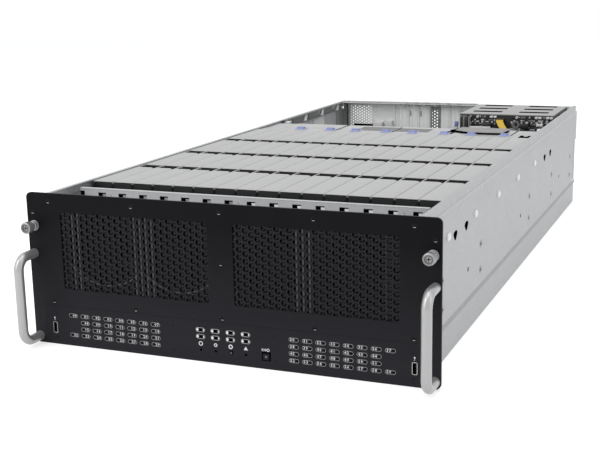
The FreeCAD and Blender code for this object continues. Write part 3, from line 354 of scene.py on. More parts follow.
# Key, then what surface() takes: name, effect, scale, dark, light, gloss, metal, relief, shine
FINISH = {key: surface(*values) for key, *values in (
    ("galvanised", "galvanised_sheet", "zinc", 260, tint(0.40, -0.02), tint(0.49, -0.02), (0.36, 0.5), 0.75, 4e-5),
    ("wall", "outer_wall_sheet", "zinc", 300, tint(0.365, -0.02), tint(0.43, -0.015), (0.38, 0.5), 0.65, 3e-5),
    ("lid", "carrier_lid_steel", "lines_y", 900, 0.405, 0.465, (0.42, 0.54), 0.28, 3e-5),
    # The black coat carries painted light: paler towards the foot of the panel.
    ("black_coat", "black_powder_coat", "fade", 1600, (0.0056, 0.0052, 0.0064), (0.0275, 0.0262, 0.031),
     (0.42, 0.55), 0.0, 6e-5, 0.06),
    ("cage", "cage_sheet", "zinc", 260, 0.33, 0.4, (0.4, 0.52), 0.45, 4e-5),
    # Painted light: the rear wall's zinc is made near white to stand in for the light falling on it.
    ("rear_sheet", "rear_wall_sheet", "zinc", 260, 0.86, 0.94, (0.42, 0.54), 0.05, 4e-5),
    # Painted light: the left wall is the same zinc as the right one, made paler to stand in for light on its shaded
    # inside.
    ("inner_wall", "left_wall_sheet", "zinc", 300, tint(0.54, -0.02), tint(0.62, -0.015), (0.38, 0.5), 0.5, 3e-5),
    ("mesh", "black_mesh_coat", "powder", 1600, (0.0066, 0.006, 0.0078), (0.0096, 0.0088, 0.0112),
     (0.3, 0.42), 0.0, 3e-5, 0.18),
    ("front_fan", "dark_grey_fan_plastic", "moulded", 900, 0.02, 0.027, (0.5, 0.65), 0.0, 3e-5, 0.2),
    ("filter", "dark_filter_net", "moulded", 900, (0.0158, 0.0146, 0.0186), (0.021, 0.0194, 0.0244),
     (0.5, 0.65), 0.0, 0.0, 0.15),
    # Painted highlight: a paler copy of the fan plastic for the frame edges and lower duct lips that catch the light.
    ("fan_edge", "pale_fan_edge", "moulded", 900, tint(0.02, -0.09), tint(0.032, -0.09), (0.4, 0.55)),
    ("crest", "crest_slope_sheet", "zinc", 300, tint(0.5, -0.02), tint(0.57, -0.015), (0.4, 0.52), 0.4, 3e-5),
    # Painted shade: a darker copy of the zinc for the crease above the walls' set-in band, the rear crest's shadowed
    # lip and the shaded rail tabs.
    ("fold", "rolled_fold_sheet", "zinc", 300, tint(0.26, -0.02), tint(0.31, -0.015), (0.4, 0.52), 0.65, 3e-5),
    ("rail", "front_rail_sheet", "zinc", 300, tint(0.46, -0.01), tint(0.54, -0.01), (0.4, 0.52), 0.3, 3e-5),
    # Painted light: a pale copy of the zinc for the lit rail tabs and the lid catches.
    ("bright_tab", "bright_bent_tab", "zinc", 900, 0.7, 0.8, (0.35, 0.45), 0.2),
    ("module_cover", "module_cover_sheet", "zinc", 260, 0.42, 0.5, (0.4, 0.52), 0.6, 3e-5),
    ("flap", "grey_module_flap", "zinc", 300, 0.2, 0.26, (0.42, 0.54), 0.4, 3e-5),
    ("module_inlay", "dark_grey_inlay", "moulded", 900, 0.11, 0.15, (0.45, 0.6), 0.0, 3e-5),
    ("bright_stud", "bright_hook_stud", "zinc", 1200, 0.8, 0.9, (0.34, 0.46), 0.1),
    ("grey_screw", "grey_flat_screw", "zinc", 1500, 0.2, 0.3, (0.3, 0.45), 0.8),
    ("wall_screw", "flat_wall_screw", "zinc", 1500, 0.26, 0.34, (0.4, 0.55), 0.2),
    ("bar", "satin_aluminium_bar", "lines_z", 1500, 0.4, 0.47, (0.26, 0.36), 0.55, 2e-5),
    ("screw", "zinc_screw", "zinc", 1500, 0.45, 0.6, (0.25, 0.4), 1.0),
    ("knob", "satin_knob_steel", "lines_y", 1500, 0.3, 0.4, (0.32, 0.46), 0.6),
    ("dark_screw", "black_screw", "zinc", 1500, 0.004, 0.007, (0.35, 0.5), 0.0, 0.0, 0.15),
    ("plated", "plated_shell_metal", "lines_y", 1200, 0.5, 0.6, (0.28, 0.4), 1.0),
    ("fan", "black_fan_plastic", "moulded", 900, tint(0.01, -0.05), tint(0.014, -0.05), (0.5, 0.65), 0.0, 3e-5, 0.15),
    ("module", "grey_module_sheet", "zinc", 240, 0.38, 0.46, (0.38, 0.5), 0.7, 3e-5),
    ("latch", "charcoal_latch_plastic", "moulded", 1000, tint(0.0105, -0.04), tint(0.017, -0.04),
     (0.45, 0.6), 0.0, 4e-5, 0.22),
    ("button", "black_button_plastic", "moulded", 1400, (0.022, 0.021, 0.025), (0.026, 0.0248, 0.0295),
     (0.42, 0.55), 0.0, 2e-5, 0.08),
    ("board", "green_circuit_board", "tracks", 55, (0.012, 0.06, 0.035), (0.03, 0.13, 0.07), (0.3, 0.4), 0.0, 2e-5),
    ("dark_board", "black_circuit_board", "tracks", 70, 0.008, 0.03, (0.3, 0.4), 0.0, 2e-5),
    ("ribbon", "yellow_flat_lead", "moulded", 700, (0.53, 0.35, 0.016), (0.64, 0.43, 0.026), (0.38, 0.5)),
    ("channel", "dark_grey_channel", "powder", 1500, 0.09, 0.12, (0.45, 0.6), 0.2, 4e-5),
    ("stud", "bright_zinc_stud", "zinc", 1200, 0.75, 0.85, (0.25, 0.38), 0.8),
    ("disk", "disk_casting", "zinc", 500, 0.22, 0.29, (0.38, 0.52), 0.6, 3e-5),
    ("tab", "light_blue_tab", "moulded", 900, (0.17, 0.205, 0.44), (0.23, 0.27, 0.52), (0.38, 0.5), 0.0, 2e-5),
    ("tab_foot", "pale_blue_foot", "moulded", 900, (0.4, 0.435, 0.6), (0.47, 0.505, 0.67), (0.38, 0.5), 0.0, 2e-5),
    ("print", "white_print", "powder", 3000, 0.8, 0.9, (0.5, 0.65)),
    ("thin_print", "thin_grey_print", "powder", 3000, 0.58, 0.66, (0.5, 0.65)),
    ("faint_print", "faint_grey_print", "powder", 3000, 0.42, 0.5, (0.5, 0.65)),
    ("lens", "smoked_lamp_lens", "moulded", 1500, 0.001, 0.002, (0.2, 0.3), 0.0, 0.0, 0.08),
    ("white", "white_plastic", "moulded", 1200, tint(0.7, 0.01), tint(0.78, 0.01), (0.4, 0.52), 0.0, 2e-5),
    ("label", "bare_paper_label", "powder", 900, 0.94, 0.98, (0.6, 0.75)),
    ("sink", "extruded_heatsink", "lines_y", 1400, 0.42, 0.5, (0.34, 0.46), 0.9, 2e-5),
    ("tinned", "tinned_part_metal", "zinc", 900, 0.55, 0.7, (0.35, 0.45), 0.3),
    ("coil", "grey_coil_lacquer", "moulded", 900, 0.15, 0.22, (0.35, 0.5), 0.0, 2e-5),
    ("chip", "black_chip_epoxy", "moulded", 1600, 0.014, 0.024, (0.35, 0.5), 0.0, 2e-5),
    ("gold", "gilt_contact", "lines_z", 1500, (0.75, 0.5, 0.18), (0.85, 0.6, 0.25), (0.22, 0.34), 1.0),
    # Painted shade: near-black boxes and sheets put where hollows, gaps and recesses are, for the shade inside them;
    # also the black plastic of the USB tongues.
    ("hole", "dark_hollow", "powder", 800, 0.001, 0.002, (0.7, 0.8), 0.0, 0.0, 0.0),
)}

# Finish of each slot of the record, and of the nodes that differ from their slot
SLOT_FINISH = {
    "galvanised": "galvanised", "lid_steel": "lid", "panel_black": "black_coat", "satin_aluminium": "bar",
    "screw_steel": "screw", "plated_shell": "plated", "fan_black": "fan", "module_grey": "module",
    "latch_black": "latch", "button_black": "button", "board_green": "board", "board_black": "dark_board",
    "ribbon_yellow": "ribbon", "channel_grey": "channel", "stud_zinc": "stud", "disk_alloy": "disk",
}
NODE_FINISH = {
    "side_wall_left": "inner_wall", "side_wall_right": "wall", "heatsinks": "sink", "front_rail": "rail",
    "front_fan_frames": "front_fan", "psu_cage": "cage", "cover_rails": "flap", "psu_left": "module",
    "psu_right": "module", "rear_panel": "rear_sheet", "vent_grilles": "mesh",
}


def dress_nodes():
    """Give every solid of the frame the finish of its slot, or its own."""
    for part in RECORD["subparts"]:
        finish = NODE_FINISH.get(part["node"], SLOT_FINISH[part["material_slot"]])
        slots = NODES[part["node"]].data.materials
        slots.clear()
        slots.append(FINISH[finish])


# Making pieces

SMOOTH_BELOW = math.radians(38)

# Metres within which points are merged, or lie on a cut
SAME_PLACE = 1e-6
ON_CUT = 1e-7

FACE_XZ = Matrix.Rotation(math.pi / 2, 4, "X")
AXIS_TURN = {
    "X": Matrix.Rotation(math.pi / 2, 4, "Y"),
    "Y": Matrix.Rotation(-math.pi / 2, 4, "X"),
    "Z": Matrix.Identity(4),
}


def bevel(bm, edges, offset, segments=2):
    """Round the given edges."""
    bmesh.ops.bevel(bm, geom=edges, offset=offset * MM, offset_type="OFFSET", segments=segments, profile=0.5,
                    affect="EDGES", clamp_overlap=True, material=-1)


def round_edges(bm, verts, chosen, offset, segments=2):
    """Round those edges between the given vertices whose two ends, in millimetres, pass the test."""
    group = set(verts)
    edges = [edge for edge in {edge for vert in verts for edge in vert.link_edges}
             if group.issuperset(edge.verts) and chosen(*(vert.co / MM for vert in edge.verts))]
    bevel(bm, edges, offset, segments)


def add_box(bm, x, y, z, rounding=0.0, segments=2):
    """Box between three (low, high) pairs, with its edges rounded."""
    size = metres(high - low for low, high in (x, y, z))
    middle = metres((low + high) / 2 for low, high in (x, y, z))
    place = Matrix.Translation(middle) @ Matrix.Diagonal(size).to_4x4()
    verts = bmesh.ops.create_cube(bm, size=1.0, matrix=place)["verts"]
    if rounding:
        bevel(bm, list({edge for vert in verts for edge in vert.link_edges}), rounding, segments)
    return verts


def add_frame(bm, x, y, z, rim, rounding=0.0):
    """Four bars just inside a rectangle: full-height uprights and level bars between them."""
    for side in ((x[0], x[0] + rim), (x[1] - rim, x[1])):
        add_box(bm, side, y, z, rounding)
    for level in ((z[0], z[0] + rim), (z[1] - rim, z[1])):
        add_box(bm, inside(x, rim), y, level, rounding)


def add_rod(bm, middle, axis, radius, length, sides=20, end_radius=None):
    """Cylinder or cone centred on a point, with its axis along X, Y or Z."""
    far = radius if end_radius is None else end_radius
    bmesh.ops.create_cone(bm, cap_ends=True, segments=sides, radius1=radius * MM, radius2=far * MM, depth=length * MM,
                          matrix=Matrix.Translation(metres(middle)) @ AXIS_TURN[axis])


def add_turned(bm, start, axis, profile, sides=32):
    """Solid of revolution: the profile is (along, radius) pairs from one end of the axis to the other."""
    turn = Matrix.Translation(metres(start)) @ AXIS_TURN[axis]
    verts = [bm.verts.new(turn @ metres((radius, 0, along))) for along, radius in profile]
    edges = [bm.edges.new(pair) for pair in zip(verts, verts[1:])]
    bmesh.ops.spin(bm, geom=verts + edges, cent=turn.translation, axis=turn.to_3x3() @ Vector((0, 0, 1)),
                   angle=2 * math.pi, steps=sides, use_merge=True, use_duplicate=False)
    bmesh.ops.remove_doubles(bm, verts=bm.verts[:], dist=SAME_PLACE)


def disc(start, end, radius):
    """Profile of a turned disc."""
    return [(start, 0), (start, radius), (end, radius), (end, 0)]


def tube(start, end, inner, outer):
    """Profile of a turned ring."""
    return [(start, inner), (start, outer), (end, outer), (end, inner), (start, inner)]


def add_prism(bm, points, along):
    """Solid made by pulling a flat outline along a vector."""
    verts = [bm.verts.new(metres(point)) for point in points]
    edges = [bm.edges.new(pair) for pair in zip(verts, verts[1:] + verts[:1])]
    face = bmesh.ops.contextual_create(bm, geom=edges)["faces"][0]
    pulled = bmesh.ops.extrude_face_region(bm, geom=[face])["geom"]
    far = [item for item in pulled if isinstance(item, bmesh.types.BMVert)]
    bmesh.ops.translate(bm, verts=far, vec=metres(along))
    return verts + far


def add_arch(bm, x, y, z, inner, outer, first, last, deep):
    """Part of a flat ring about (x, z), between two angles in degrees."""
    angles = [math.radians(first + (last - first) * k / 10) for k in range(11)]
    rings = [[(x + radius * math.cos(angle), y, z + radius * math.sin(angle)) for angle in angles]
             for radius in (inner, outer)]
    add_prism(bm, rings[1] + rings[0][::-1], (0, deep, 0))


def stamp(bm, mesh, place):
    """Copy of a stored mesh, moved by a matrix."""
    start = len(bm.verts)
    bm.from_mesh(mesh)
    bm.verts.ensure_lookup_table()
    bmesh.ops.transform(bm, matrix=place, verts=bm.verts[start:])


def repeat_into(bm, unit, places):
    """Copies of a small mesh, one at each place; the small mesh is freed."""
    mesh = bpy.data.meshes.new("unit")
    unit.to_mesh(mesh)
    unit.free()
    for place in places:
        stamp(bm, mesh, Matrix.Translation(metres(place)))
    bpy.data.meshes.remove(mesh)


def add_hex_sheet(bm, x, z, y, pitch, rib, thickness):
    """Perforated sheet of hexagons in staggered columns, cut to a rectangle, its front at y."""
    sheet = bmesh.new()
    step = pitch * math.sqrt(3) / 2
    hexagon = FACE_XZ @ Matrix.Rotation(math.pi / 6, 4, "Z")
    for column in range(int((x[1] - x[0]) / step) + 2):
        for row in range(int((z[1] - z[0]) / pitch) + 2):
            centre = metres((x[0] + step * column, y, z[0] + pitch * (row + 0.5 * (column % 2))))
            bmesh.ops.create_circle(sheet, cap_ends=True, segments=6, radius=pitch * MM / math.sqrt(3),
                                    matrix=Matrix.Translation(centre) @ hexagon)
    cells = list(sheet.faces)
    bmesh.ops.inset_individual(sheet, faces=cells, thickness=rib * MM / 2, use_even_offset=True)
    bmesh.ops.delete(sheet, geom=cells, context="FACES_ONLY")
    bmesh.ops.remove_doubles(sheet, verts=sheet.verts, dist=0.02 * rib * MM)
    for point, normal in (((x[0], 0, 0), (-1, 0, 0)), ((x[1], 0, 0), (1, 0, 0)),
                          ((0, 0, z[0]), (0, 0, -1)), ((0, 0, z[1]), (0, 0, 1))):
        bmesh.ops.bisect_plane(sheet, geom=sheet.verts[:] + sheet.edges[:] + sheet.faces[:], plane_co=metres(point),
                               plane_no=normal, clear_outer=True, dist=ON_CUT)
    bmesh.ops.recalc_face_normals(sheet, faces=sheet.faces)
    back = bmesh.ops.extrude_face_region(sheet, geom=sheet.faces[:])["geom"]
    moved = [item for item in back if isinstance(item, bmesh.types.BMVert)]
    bmesh.ops.translate(sheet, verts=moved, vec=metres((0, thickness, 0)))
    repeat_into(bm, sheet, [(0, 0, 0)])


def piece(name, bm, finish, body="chassis", replaces=()):
    """Finish a mesh as a piece that rides on a body."""
    bmesh.ops.recalc_face_normals(bm, faces=bm.faces)
    for face in bm.faces:
        face.smooth = True
    for edge in bm.edges:
        edge.smooth = len(edge.link_faces) == 2 and edge.calc_face_angle(0.0) < SMOOTH_BELOW
    mesh = bpy.data.meshes.new(name)
    bm.to_mesh(mesh)
    bm.free()
    mesh.materials.append(FINISH[finish])
    made = add_object(name, mesh)
    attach(made, body)
    if replaces:
        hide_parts(*replaces)


# Front panel: mesh, printed marks, lamps and screws

PANEL = box("front_panel")
VENT_BOX = box("vent_grilles")
GRILLE_LAP = 2
VENT_X = (15, VENT_BOX[1].x - GRILLE_LAP)
VENT_Z = inside((VENT_BOX[0].z, VENT_BOX[1].z), GRILLE_LAP)
MESH_PITCH = 8.3
MESH_RIB = 1.7
MESH_T = 1.0
MESH_SUNK = 0.6
NET_BEHIND = 2.0
NET_RIB = 2.7
NET_T = 0.6
EDGE_RIBS = (-183.6, -176.4, -104.5, -97.3, -90.1, -82.9, 86.9, 94.1, 101.3, 184)
EDGE_RIB_W = 2.0
DUCT_LIPS = (-143, -51)
DUCT_LIP_R = 60
DUCT_LIP_W = 1.6
DUCT_LIP_Z = 135


def front_mesh():
    """True-pitch hexagon mesh behind both vents, with its plain border."""
    bm = bmesh.new()
    y = VENT_BOX[0].y
    for x in (VENT_X, (-VENT_X[1], -VENT_X[0])):
        add_hex_sheet(bm, x, VENT_Z, FRONT + MESH_SUNK, MESH_PITCH, MESH_RIB, MESH_T)
        add_frame(bm, inside(x, -GRILLE_LAP), (y, y + MESH_T), inside(VENT_Z, -GRILLE_LAP), GRILLE_LAP)
    piece("vent_mesh", bm, "mesh", replaces=["vent_grilles"])


def filter_net():
    """Dust net close behind the mesh, its ribs crossing behind the mesh holes."""
    bm = bmesh.new()
    y = FRONT + MESH_SUNK + NET_BEHIND
    shift = MESH_PITCH / math.sqrt(3)
    for x in ((VENT_X[0] - shift, VENT_X[1]), (-VENT_X[1] - shift, -VENT_X[0])):
        add_hex_sheet(bm, x, VENT_Z, y, MESH_PITCH, NET_RIB, NET_T)
    piece("filter_net", bm, "filter")


def fan_rims():
    """Upright ribs where two fan frames meet and the lower arcs of the ducts' lips, seen through the mesh, in a paler
    plastic that paints the light caught on these edges.
    """
    bm = bmesh.new()
    front = FRONT + MESH_SUNK + MESH_T + 0.2
    for x in EDGE_RIBS:
        add_box(bm, around(x, EDGE_RIB_W), (front, front + 0.5), VENT_Z)
    for x in DUCT_LIPS:
        add_arch(bm, x, front + 0.05, DUCT_LIP_Z, *around(DUCT_LIP_R, DUCT_LIP_W), -140, -40, 0.4)
    piece("fan_rims", bm, "fan_edge")


STRIP_SIGN_Z = 20.7
PRINT_T = 0.05
DIGIT_H = 4.4
DIGIT_STEP = 2.8
DIGIT_SHIFT = 1.7
LAMP_X = 82.5
LAMP_PITCH_X = 15.15
LAMP_Z = 36.3
LAMP_PITCH_Z = 7.7
LAMP_OFFSET = 3.8
LAMP_COLS = 8
PILL = (11.4, 4.6)
PILL_LINE = 0.32
STATUS_PILL = (11, 5.2)
STATUS_X = [17.95 * (k - 1.5) for k in range(4)]
STATUS_LAMPS = [(x, LAMP_Z - LAMP_PITCH_Z * row) for x in STATUS_X for row in range(2)]
USB_X = 214

# x, z, width, height and line width of each sign, then its sides and first angle; no line means filled
SIGNS = [
    (STATUS_X[0], STRIP_SIGN_Z, 5.2, 5.2, 0.9), (STATUS_X[1], STRIP_SIGN_Z, 4.2, 4.2, 1.0),
    (STATUS_X[2], STRIP_SIGN_Z, 5.2, 5.2, 1.2),
    (STATUS_X[3], 20.2, 5.6, 5.6, 1.1, 3, 0), (53, 21.6, 3.4, 3.4, 0.7),
] + [(x, 21.6, 1.2, 3.6, 0, 8) for x in (46.2, 48.3, 50.4)] + [
    sign for x in (-USB_X, USB_X) for sign in ((x, 29.6, 0.8, 4.2, 0, 8), (x, 31.6, 2.0, 2.0, 0, 8))]


def add_outline(bm, x, z, width, height, line, sides=16, turn=None):
    """Printed outline of a pill or ring on the panel's face, or a filled one without a line."""
    first = math.pi / sides if turn is None else turn
    verts = bmesh.ops.create_circle(bm, cap_ends=True, segments=sides, radius=height * MM / 2,
                                    matrix=Matrix.Rotation(first, 4, "Z"))["verts"]
    for side in SIDES:
        ends = [vert for vert in verts if vert.co.x * side > 0]
        bmesh.ops.translate(bm, verts=ends, vec=metres((side * (width - height) / 2, 0, 0)))
    if line:
        face = verts[0].link_faces[0]
        ring = bmesh.ops.inset_region(bm, faces=[face], thickness=line * MM, use_even_offset=True, use_boundary=True)
        bmesh.ops.delete(bm, geom=[face], context="FACES_ONLY")
        verts = list({vert for part in ring["faces"] for vert in part.verts})
    place = Matrix.Translation(metres((x, FRONT - PRINT_T, z)))
    bmesh.ops.transform(bm, matrix=place @ FACE_XZ, verts=verts)


def digit_meshes():
    """Flat meshes of the ten digits, at a type size of one."""
    meshes = []
    for digit in range(10):
        curve = bpy.data.curves.new("digit", "FONT")
        curve.body = str(digit)
        curve.size = 1.0
        curve.resolution_u = 1
        curve.offset = 0.035
        curve.align_x = "CENTER"
        curve.align_y = "CENTER"
        writing = bpy.data.objects.new("digit", curve)
        meshes.append(bpy.data.meshes.new_from_object(writing))
        bpy.data.objects.remove(writing)
        bpy.data.curves.remove(curve)
    return meshes


def bay_marks():
    """(x, z, side) of the sixty bay lamps' marks: the two inner rows are one short."""
    return [(side * (LAMP_X + LAMP_PITCH_X * column), LAMP_Z - LAMP_PITCH_Z * row, side)
            for row in range(4) for column in range(LAMP_COLS if row in (0, 3) else LAMP_COLS - 1) for side in SIDES]


def strip_print():
    """White marks of the control strip: numbered pills, status pills and small signs."""
    signs, numbers, rings = new_meshes(3)
    digits = digit_meshes()
    marks = sorted(bay_marks(), key=lambda mark: (mark[2], -mark[1], mark[0]))
    for number, (x, z, side) in enumerate(marks):
        add_outline(rings, x, z, *PILL, PILL_LINE)
        for place, digit in enumerate("%02d" % number):
            across = x - side * DIGIT_SHIFT + (place - 0.5) * DIGIT_STEP
            spot = Matrix.Translation(metres((across, FRONT - PRINT_T, z)))
            stamp(numbers, digits[int(digit)], spot @ FACE_XZ @ Matrix.Scale(DIGIT_H * MM, 4))
    for mesh in digits:
        bpy.data.meshes.remove(mesh)
    for x, z in STATUS_LAMPS:
        add_outline(rings, x, z, *STATUS_PILL, 1.5 * PILL_LINE)
        add_outline(signs, x - 3.5, z, 2.8, 3.6, 0)
        add_outline(signs, x + 3.9, z, 1.4, 3.0, 0, 8)
    for sign in SIGNS:
        add_outline(signs, *sign)
    for name, bm, finish in (("strip_print", signs, "print"), ("bay_numbers", numbers, "thin_print"),
                             ("lamp_rings", rings, "faint_print")):
        bmesh.ops.solidify(bm, geom=bm.faces[:], thickness=PRINT_T * MM / 2)
        piece(name, bm, finish)


SCREW_COLUMN = sum(VENT_X) / 2
SCREW_ROWS = (51, 167)
EAR_SCREW = (PANEL[1].x - 6.8, 154)
FAN_MIDDLE_Z = sum(VENT_Z) / 2
SCREW_R = 2.8
SHANK_R = 1.5
STRIP_SCREWS = [(side * x, z) for side in SIDES for x, z in ((61, 38), (61, 10), (212, 37), (212, 9))]
STRIP_SCREW = [(-0.35, 0), (-0.3, 1.0), (0, 1.5), (0, 0)]
HANDLE_SCREW = [(0, 0), (0, 4.4), (1.6, 4.0), (2.2, 2.6), (2.2, 0)]
THUMB_BOX = box("thumbscrew_right")
THUMB = middle_of(THUMB_BOX)
HANDLE_BOX = box("handle_right")
HANDLE_X = middle_of(HANDLE_BOX).x
HANDLE_R = (HANDLE_BOX[1].x - HANDLE_BOX[0].x) / 2
COLLAR_R = 5.2
COLLAR_L = 5.0
COLLAR_LIP = COLLAR_R + 0.7
THUMB_BORE = 2.4
COLLAR = [(-COLLAR_L, THUMB_BORE), (-COLLAR_L, COLLAR_R - 0.6), (-COLLAR_L + 0.6, COLLAR_R), (-1.2, COLLAR_R),
          (-1.0, COLLAR_LIP), (0, COLLAR_LIP), (0, THUMB_BORE), (-COLLAR_L, THUMB_BORE)]


def add_cross(bm, x, y, z, reach, width, deep):
    """Cross recess of a screw: a box in painted shade for the sunk shape seen from the front."""
    add_box(bm, around(x, 2 * reach), (y, y + deep), around(z, width))
    add_box(bm, around(x, width), (y, y + deep), around(z, 2 * reach))


def panel_screw_places():
    """(x, z) of the sunk screws: two rows of five, one on each ear and one between the vents."""
    rows = [(SCREW_COLUMN * k, z) for k in (-2, -1, 0, 1, 2) for z in SCREW_ROWS]
    return rows + [(side * EAR_SCREW[0], EAR_SCREW[1]) for side in SIDES] + [(0, FAN_MIDDLE_Z)]


def panel_screws():
    """Sunk black screws with a cross recess in painted shade and a painted glint low on each, the handles' screws
    behind the panel and the thumbscrews' collars.
    """
    heads, crosses, screw_glints, collars = new_meshes(4)
    shank = box("panel_screws")[1].y - FRONT
    sunk_screw = [(0.25, 0), (0.05, 2.2), (0.15, SCREW_R), (1.5, SHANK_R), (shank, SHANK_R), (shank, 0)]
    for x, z in panel_screw_places():
        add_turned(heads, (x, FRONT, z), "Y", sunk_screw, 18)
        add_cross(crosses, x, FRONT + 0.02, z, 1.5, 0.7, 0.5)
        # Painted glint: a small pale bar low on each head stands in for the highlight on the screw's edge.
        add_box(screw_glints, around(x + 0.3, 2.6), (FRONT - 0.02, FRONT + 0.2), around(z - 1.1, 0.7), 0.1)
    for x, z in STRIP_SCREWS:
        add_turned(heads, (x, FRONT, z), "Y", STRIP_SCREW, 14)
    piece("panel_screw_heads", heads, "dark_screw", replaces=["panel_screws"])
    piece("panel_screw_crosses", crosses, "hole")
    piece("panel_screw_painted_glints", screw_glints, "knob")
    for side in SIDES:
        add_turned(collars, (side * THUMB.x, FRONT, THUMB.z), "Y", COLLAR)
        for z in (HANDLE_BOX[0].z + HANDLE_R, HANDLE_BOX[1].z - HANDLE_R):
            add_turned(collars, (side * HANDLE_X, PANEL[1].y, z), "Y", HANDLE_SCREW, 24)
    piece("thumbscrew_collars", collars, "knob")


KNOB_R = 6.6
KNOB_L = 9.0
KNURLS = 26
KNURL_DEEP = 0.45
NECK_R = 3.9
STEM_R = 2.1
THREAD_R = 2.5


def thumbscrews():
    """Knurled captive screws with a dark ring and a cross recess in painted shade."""
    front, end = (corner.y - FRONT for corner in THUMB_BOX)
    back, neck = front + KNOB_L, -COLLAR_L - 0.3
    profile = [(front + 1.4, 0), (front + 1.4, 3.0), (front + 0.05, 3.4), (front + 0.05, KNOB_R - 1.3),
               (front + 0.9, KNOB_R), (back - 0.7, KNOB_R), (back, KNOB_R - 0.8), (back, NECK_R), (neck, NECK_R),
               (neck, STEM_R), (4, STEM_R), (4, THREAD_R), (end - 0.6, THREAD_R), (end, 1.9), (end, 0)]
    for name, side in (("left", -1), ("right", 1)):
        node = "thumbscrew_" + name
        start = (side * THUMB.x, FRONT, THUMB.z)
        knob, cross, ring = new_meshes(3)
        add_turned(knob, start, "Y", profile, 2 * KNURLS)
        axis = metres(start)
        for vert in knob.verts:
            out = Vector((vert.co.x - axis.x, 0, vert.co.z - axis.z))
            if out.length > (KNOB_R - 0.1) * MM and round(math.atan2(out.z, out.x) / math.pi * KNURLS) % 2:
                vert.co -= out.normalized() * KNURL_DEEP * MM
        piece(node + "_knob", knob, "knob", node, [node])
        add_cross(cross, start[0], FRONT + front + 1.3, start[2], 2.2, 0.9, 0.3)
        piece(node + "_cross", cross, "hole", node)
        add_turned(ring, start, "Y", tube(front, front + 0.3, 3.3, 4.9), 24)
        piece(node + "_ring", ring, "module_inlay", node)


USB_Z = 20
USB_W = 5.6
USB_H = 13.2
USB_WALL = 0.5
TONGUE_T = 1.8
TONGUE_H = 10.6
CONTACT_PITCH = 2.4


def usb_sockets():
    """Upright sockets: thin folded shell, painted shade inside it, a black contact tongue on one side."""
    shell, inside, contacts = new_meshes(3)
    deep = box("usb_ports")[1].y
    for side in SIDES:
        x, z = around(side * USB_X, USB_W), around(USB_Z, USB_H)
        hollow_x, hollow_z = around(side * USB_X, USB_W - 2 * USB_WALL), around(USB_Z, USB_H - 2 * USB_WALL)
        for wall_x, wall_z in (((x[0], hollow_x[0]), z), ((hollow_x[1], x[1]), z),
                               (x, (z[0], hollow_z[0])), (x, (hollow_z[1], z[1]))):
            add_box(shell, wall_x, (FRONT + 0.2, deep), wall_z)
        # Painted shade: a dark box deep in the shell.
        add_box(inside, hollow_x, (deep - 3, deep - 0.2), hollow_z)
        tongue = hollow_x[0] + 0.8
        face = tongue + TONGUE_T
        add_box(inside, (tongue, face), (FRONT + 0.8, deep - 2), around(USB_Z, TONGUE_H))
        for k in range(4):
            z = USB_Z + (k - 1.5) * CONTACT_PITCH
            add_box(contacts, (face, face + 0.1), (FRONT + 1.2, deep - 3), around(z, 1.0))
    piece("usb_shells", shell, "plated", replaces=["usb_ports"])
    piece("usb_inserts", inside, "hole")
    piece("usb_contacts", contacts, "grey_screw")


LENS_W = 3.4
LENS_H = 2.6
LENS_DEEP = 2.6
RESET_Z = 13.6


def lamp_lenses():
    """Smoked lenses in the strip's windows, painted shade round the status lamps, painted shadow along the top and
    right of each button, and small round holes in painted shade.
    """
    lenses, holes = new_meshes(2)
    front = FRONT + 0.1
    for x, z in [(x + side * LAMP_OFFSET, z) for x, z, side in bay_marks()] + STATUS_LAMPS:
        add_box(lenses, around(x, LENS_W), (front, front + LENS_DEEP), around(z, LENS_H), 0.3)
    piece("lamp_lenses", lenses, "lens")
    for x in (STATUS_X[0], STATUS_X[1], STATUS_X[3]):
        add_turned(holes, (x, FRONT, RESET_Z), "Y", disc(-0.04, 0, 1.5), 14)
    for x, z in STATUS_LAMPS:
        add_box(holes, around(x, LENS_W + 0.5), (FRONT - 0.04, FRONT + 0.1), around(z, LENS_H + 0.6))
    buttons = (("power_button", 1.7, 1.3), ("id_button", 1.0, 0.8))
    for name, gap, radius in buttons:
        low, high = box(name)
        face = (FRONT - 0.03, FRONT + 0.1)
        # Painted shadow: dark strips along the top and right sides of each button.
        add_box(holes, (low.x, high.x + gap), face, (high.z, high.z + gap))
        add_box(holes, (high.x, high.x + gap), face, (low.z, high.z))
    piece("reset_holes", holes, "hole")
    # Painted highlight: a grey disc in the middle of each button for the light it catches.
    for name, gap, radius in buttons:
        low, high = box(name)
        middle = middle_of((low, high))
        highlight_disc = bmesh.new()
        add_turned(highlight_disc, (middle.x, low.y, middle.z), "Y", disc(-0.02, 0.1, radius), 12)
        piece(name + "_painted_highlight", highlight_disc, "coil", name)


# Disk carriers: lids, legs, latches and the faces of the lifting disks

ROWS = 4
COLUMNS = 16
LIFTING_COLUMN = 12
CARRIER = box("tray_1")
LATCH = box("latch_1")
CARRIER_W = CARRIER[1].x - CARRIER[0].x
CARRIER_L = CARRIER[1].y - CARRIER[0].y
COLUMN_PITCH = 27
ROW_PITCH = box("tray_2")[0].y - CARRIER[0].y
LID_T = 1.0
LID_CORNER = 5.0
LID_EAR_W = 1.4
LID_GUSSET = 1.3
LID_SHORT = 6.0
LID_EDGE = 0.55
LID_MARK = (5, 1.0, 0.12)
LID_MARK_Y = 8
LATCH_T = LATCH[1].y - LATCH[0].y
LATCH_CORNER = 1.8
LATCH_RIM = 0.8
DISK_MARGIN = 5
PLATE_CORNER = 7
PLATE_RINGS = ((0.4, 0.22), (0.15, 0.3))
DISK_SCREW_IN = 6
DISK_SCREW_R = 2.4


def bay_corner(row, column):
    """Front left foot of a carrier."""
    return Corner(CARRIER[0].x + COLUMN_PITCH * (column - LIFTING_COLUMN), CARRIER[0].y + ROW_PITCH * row, 0)


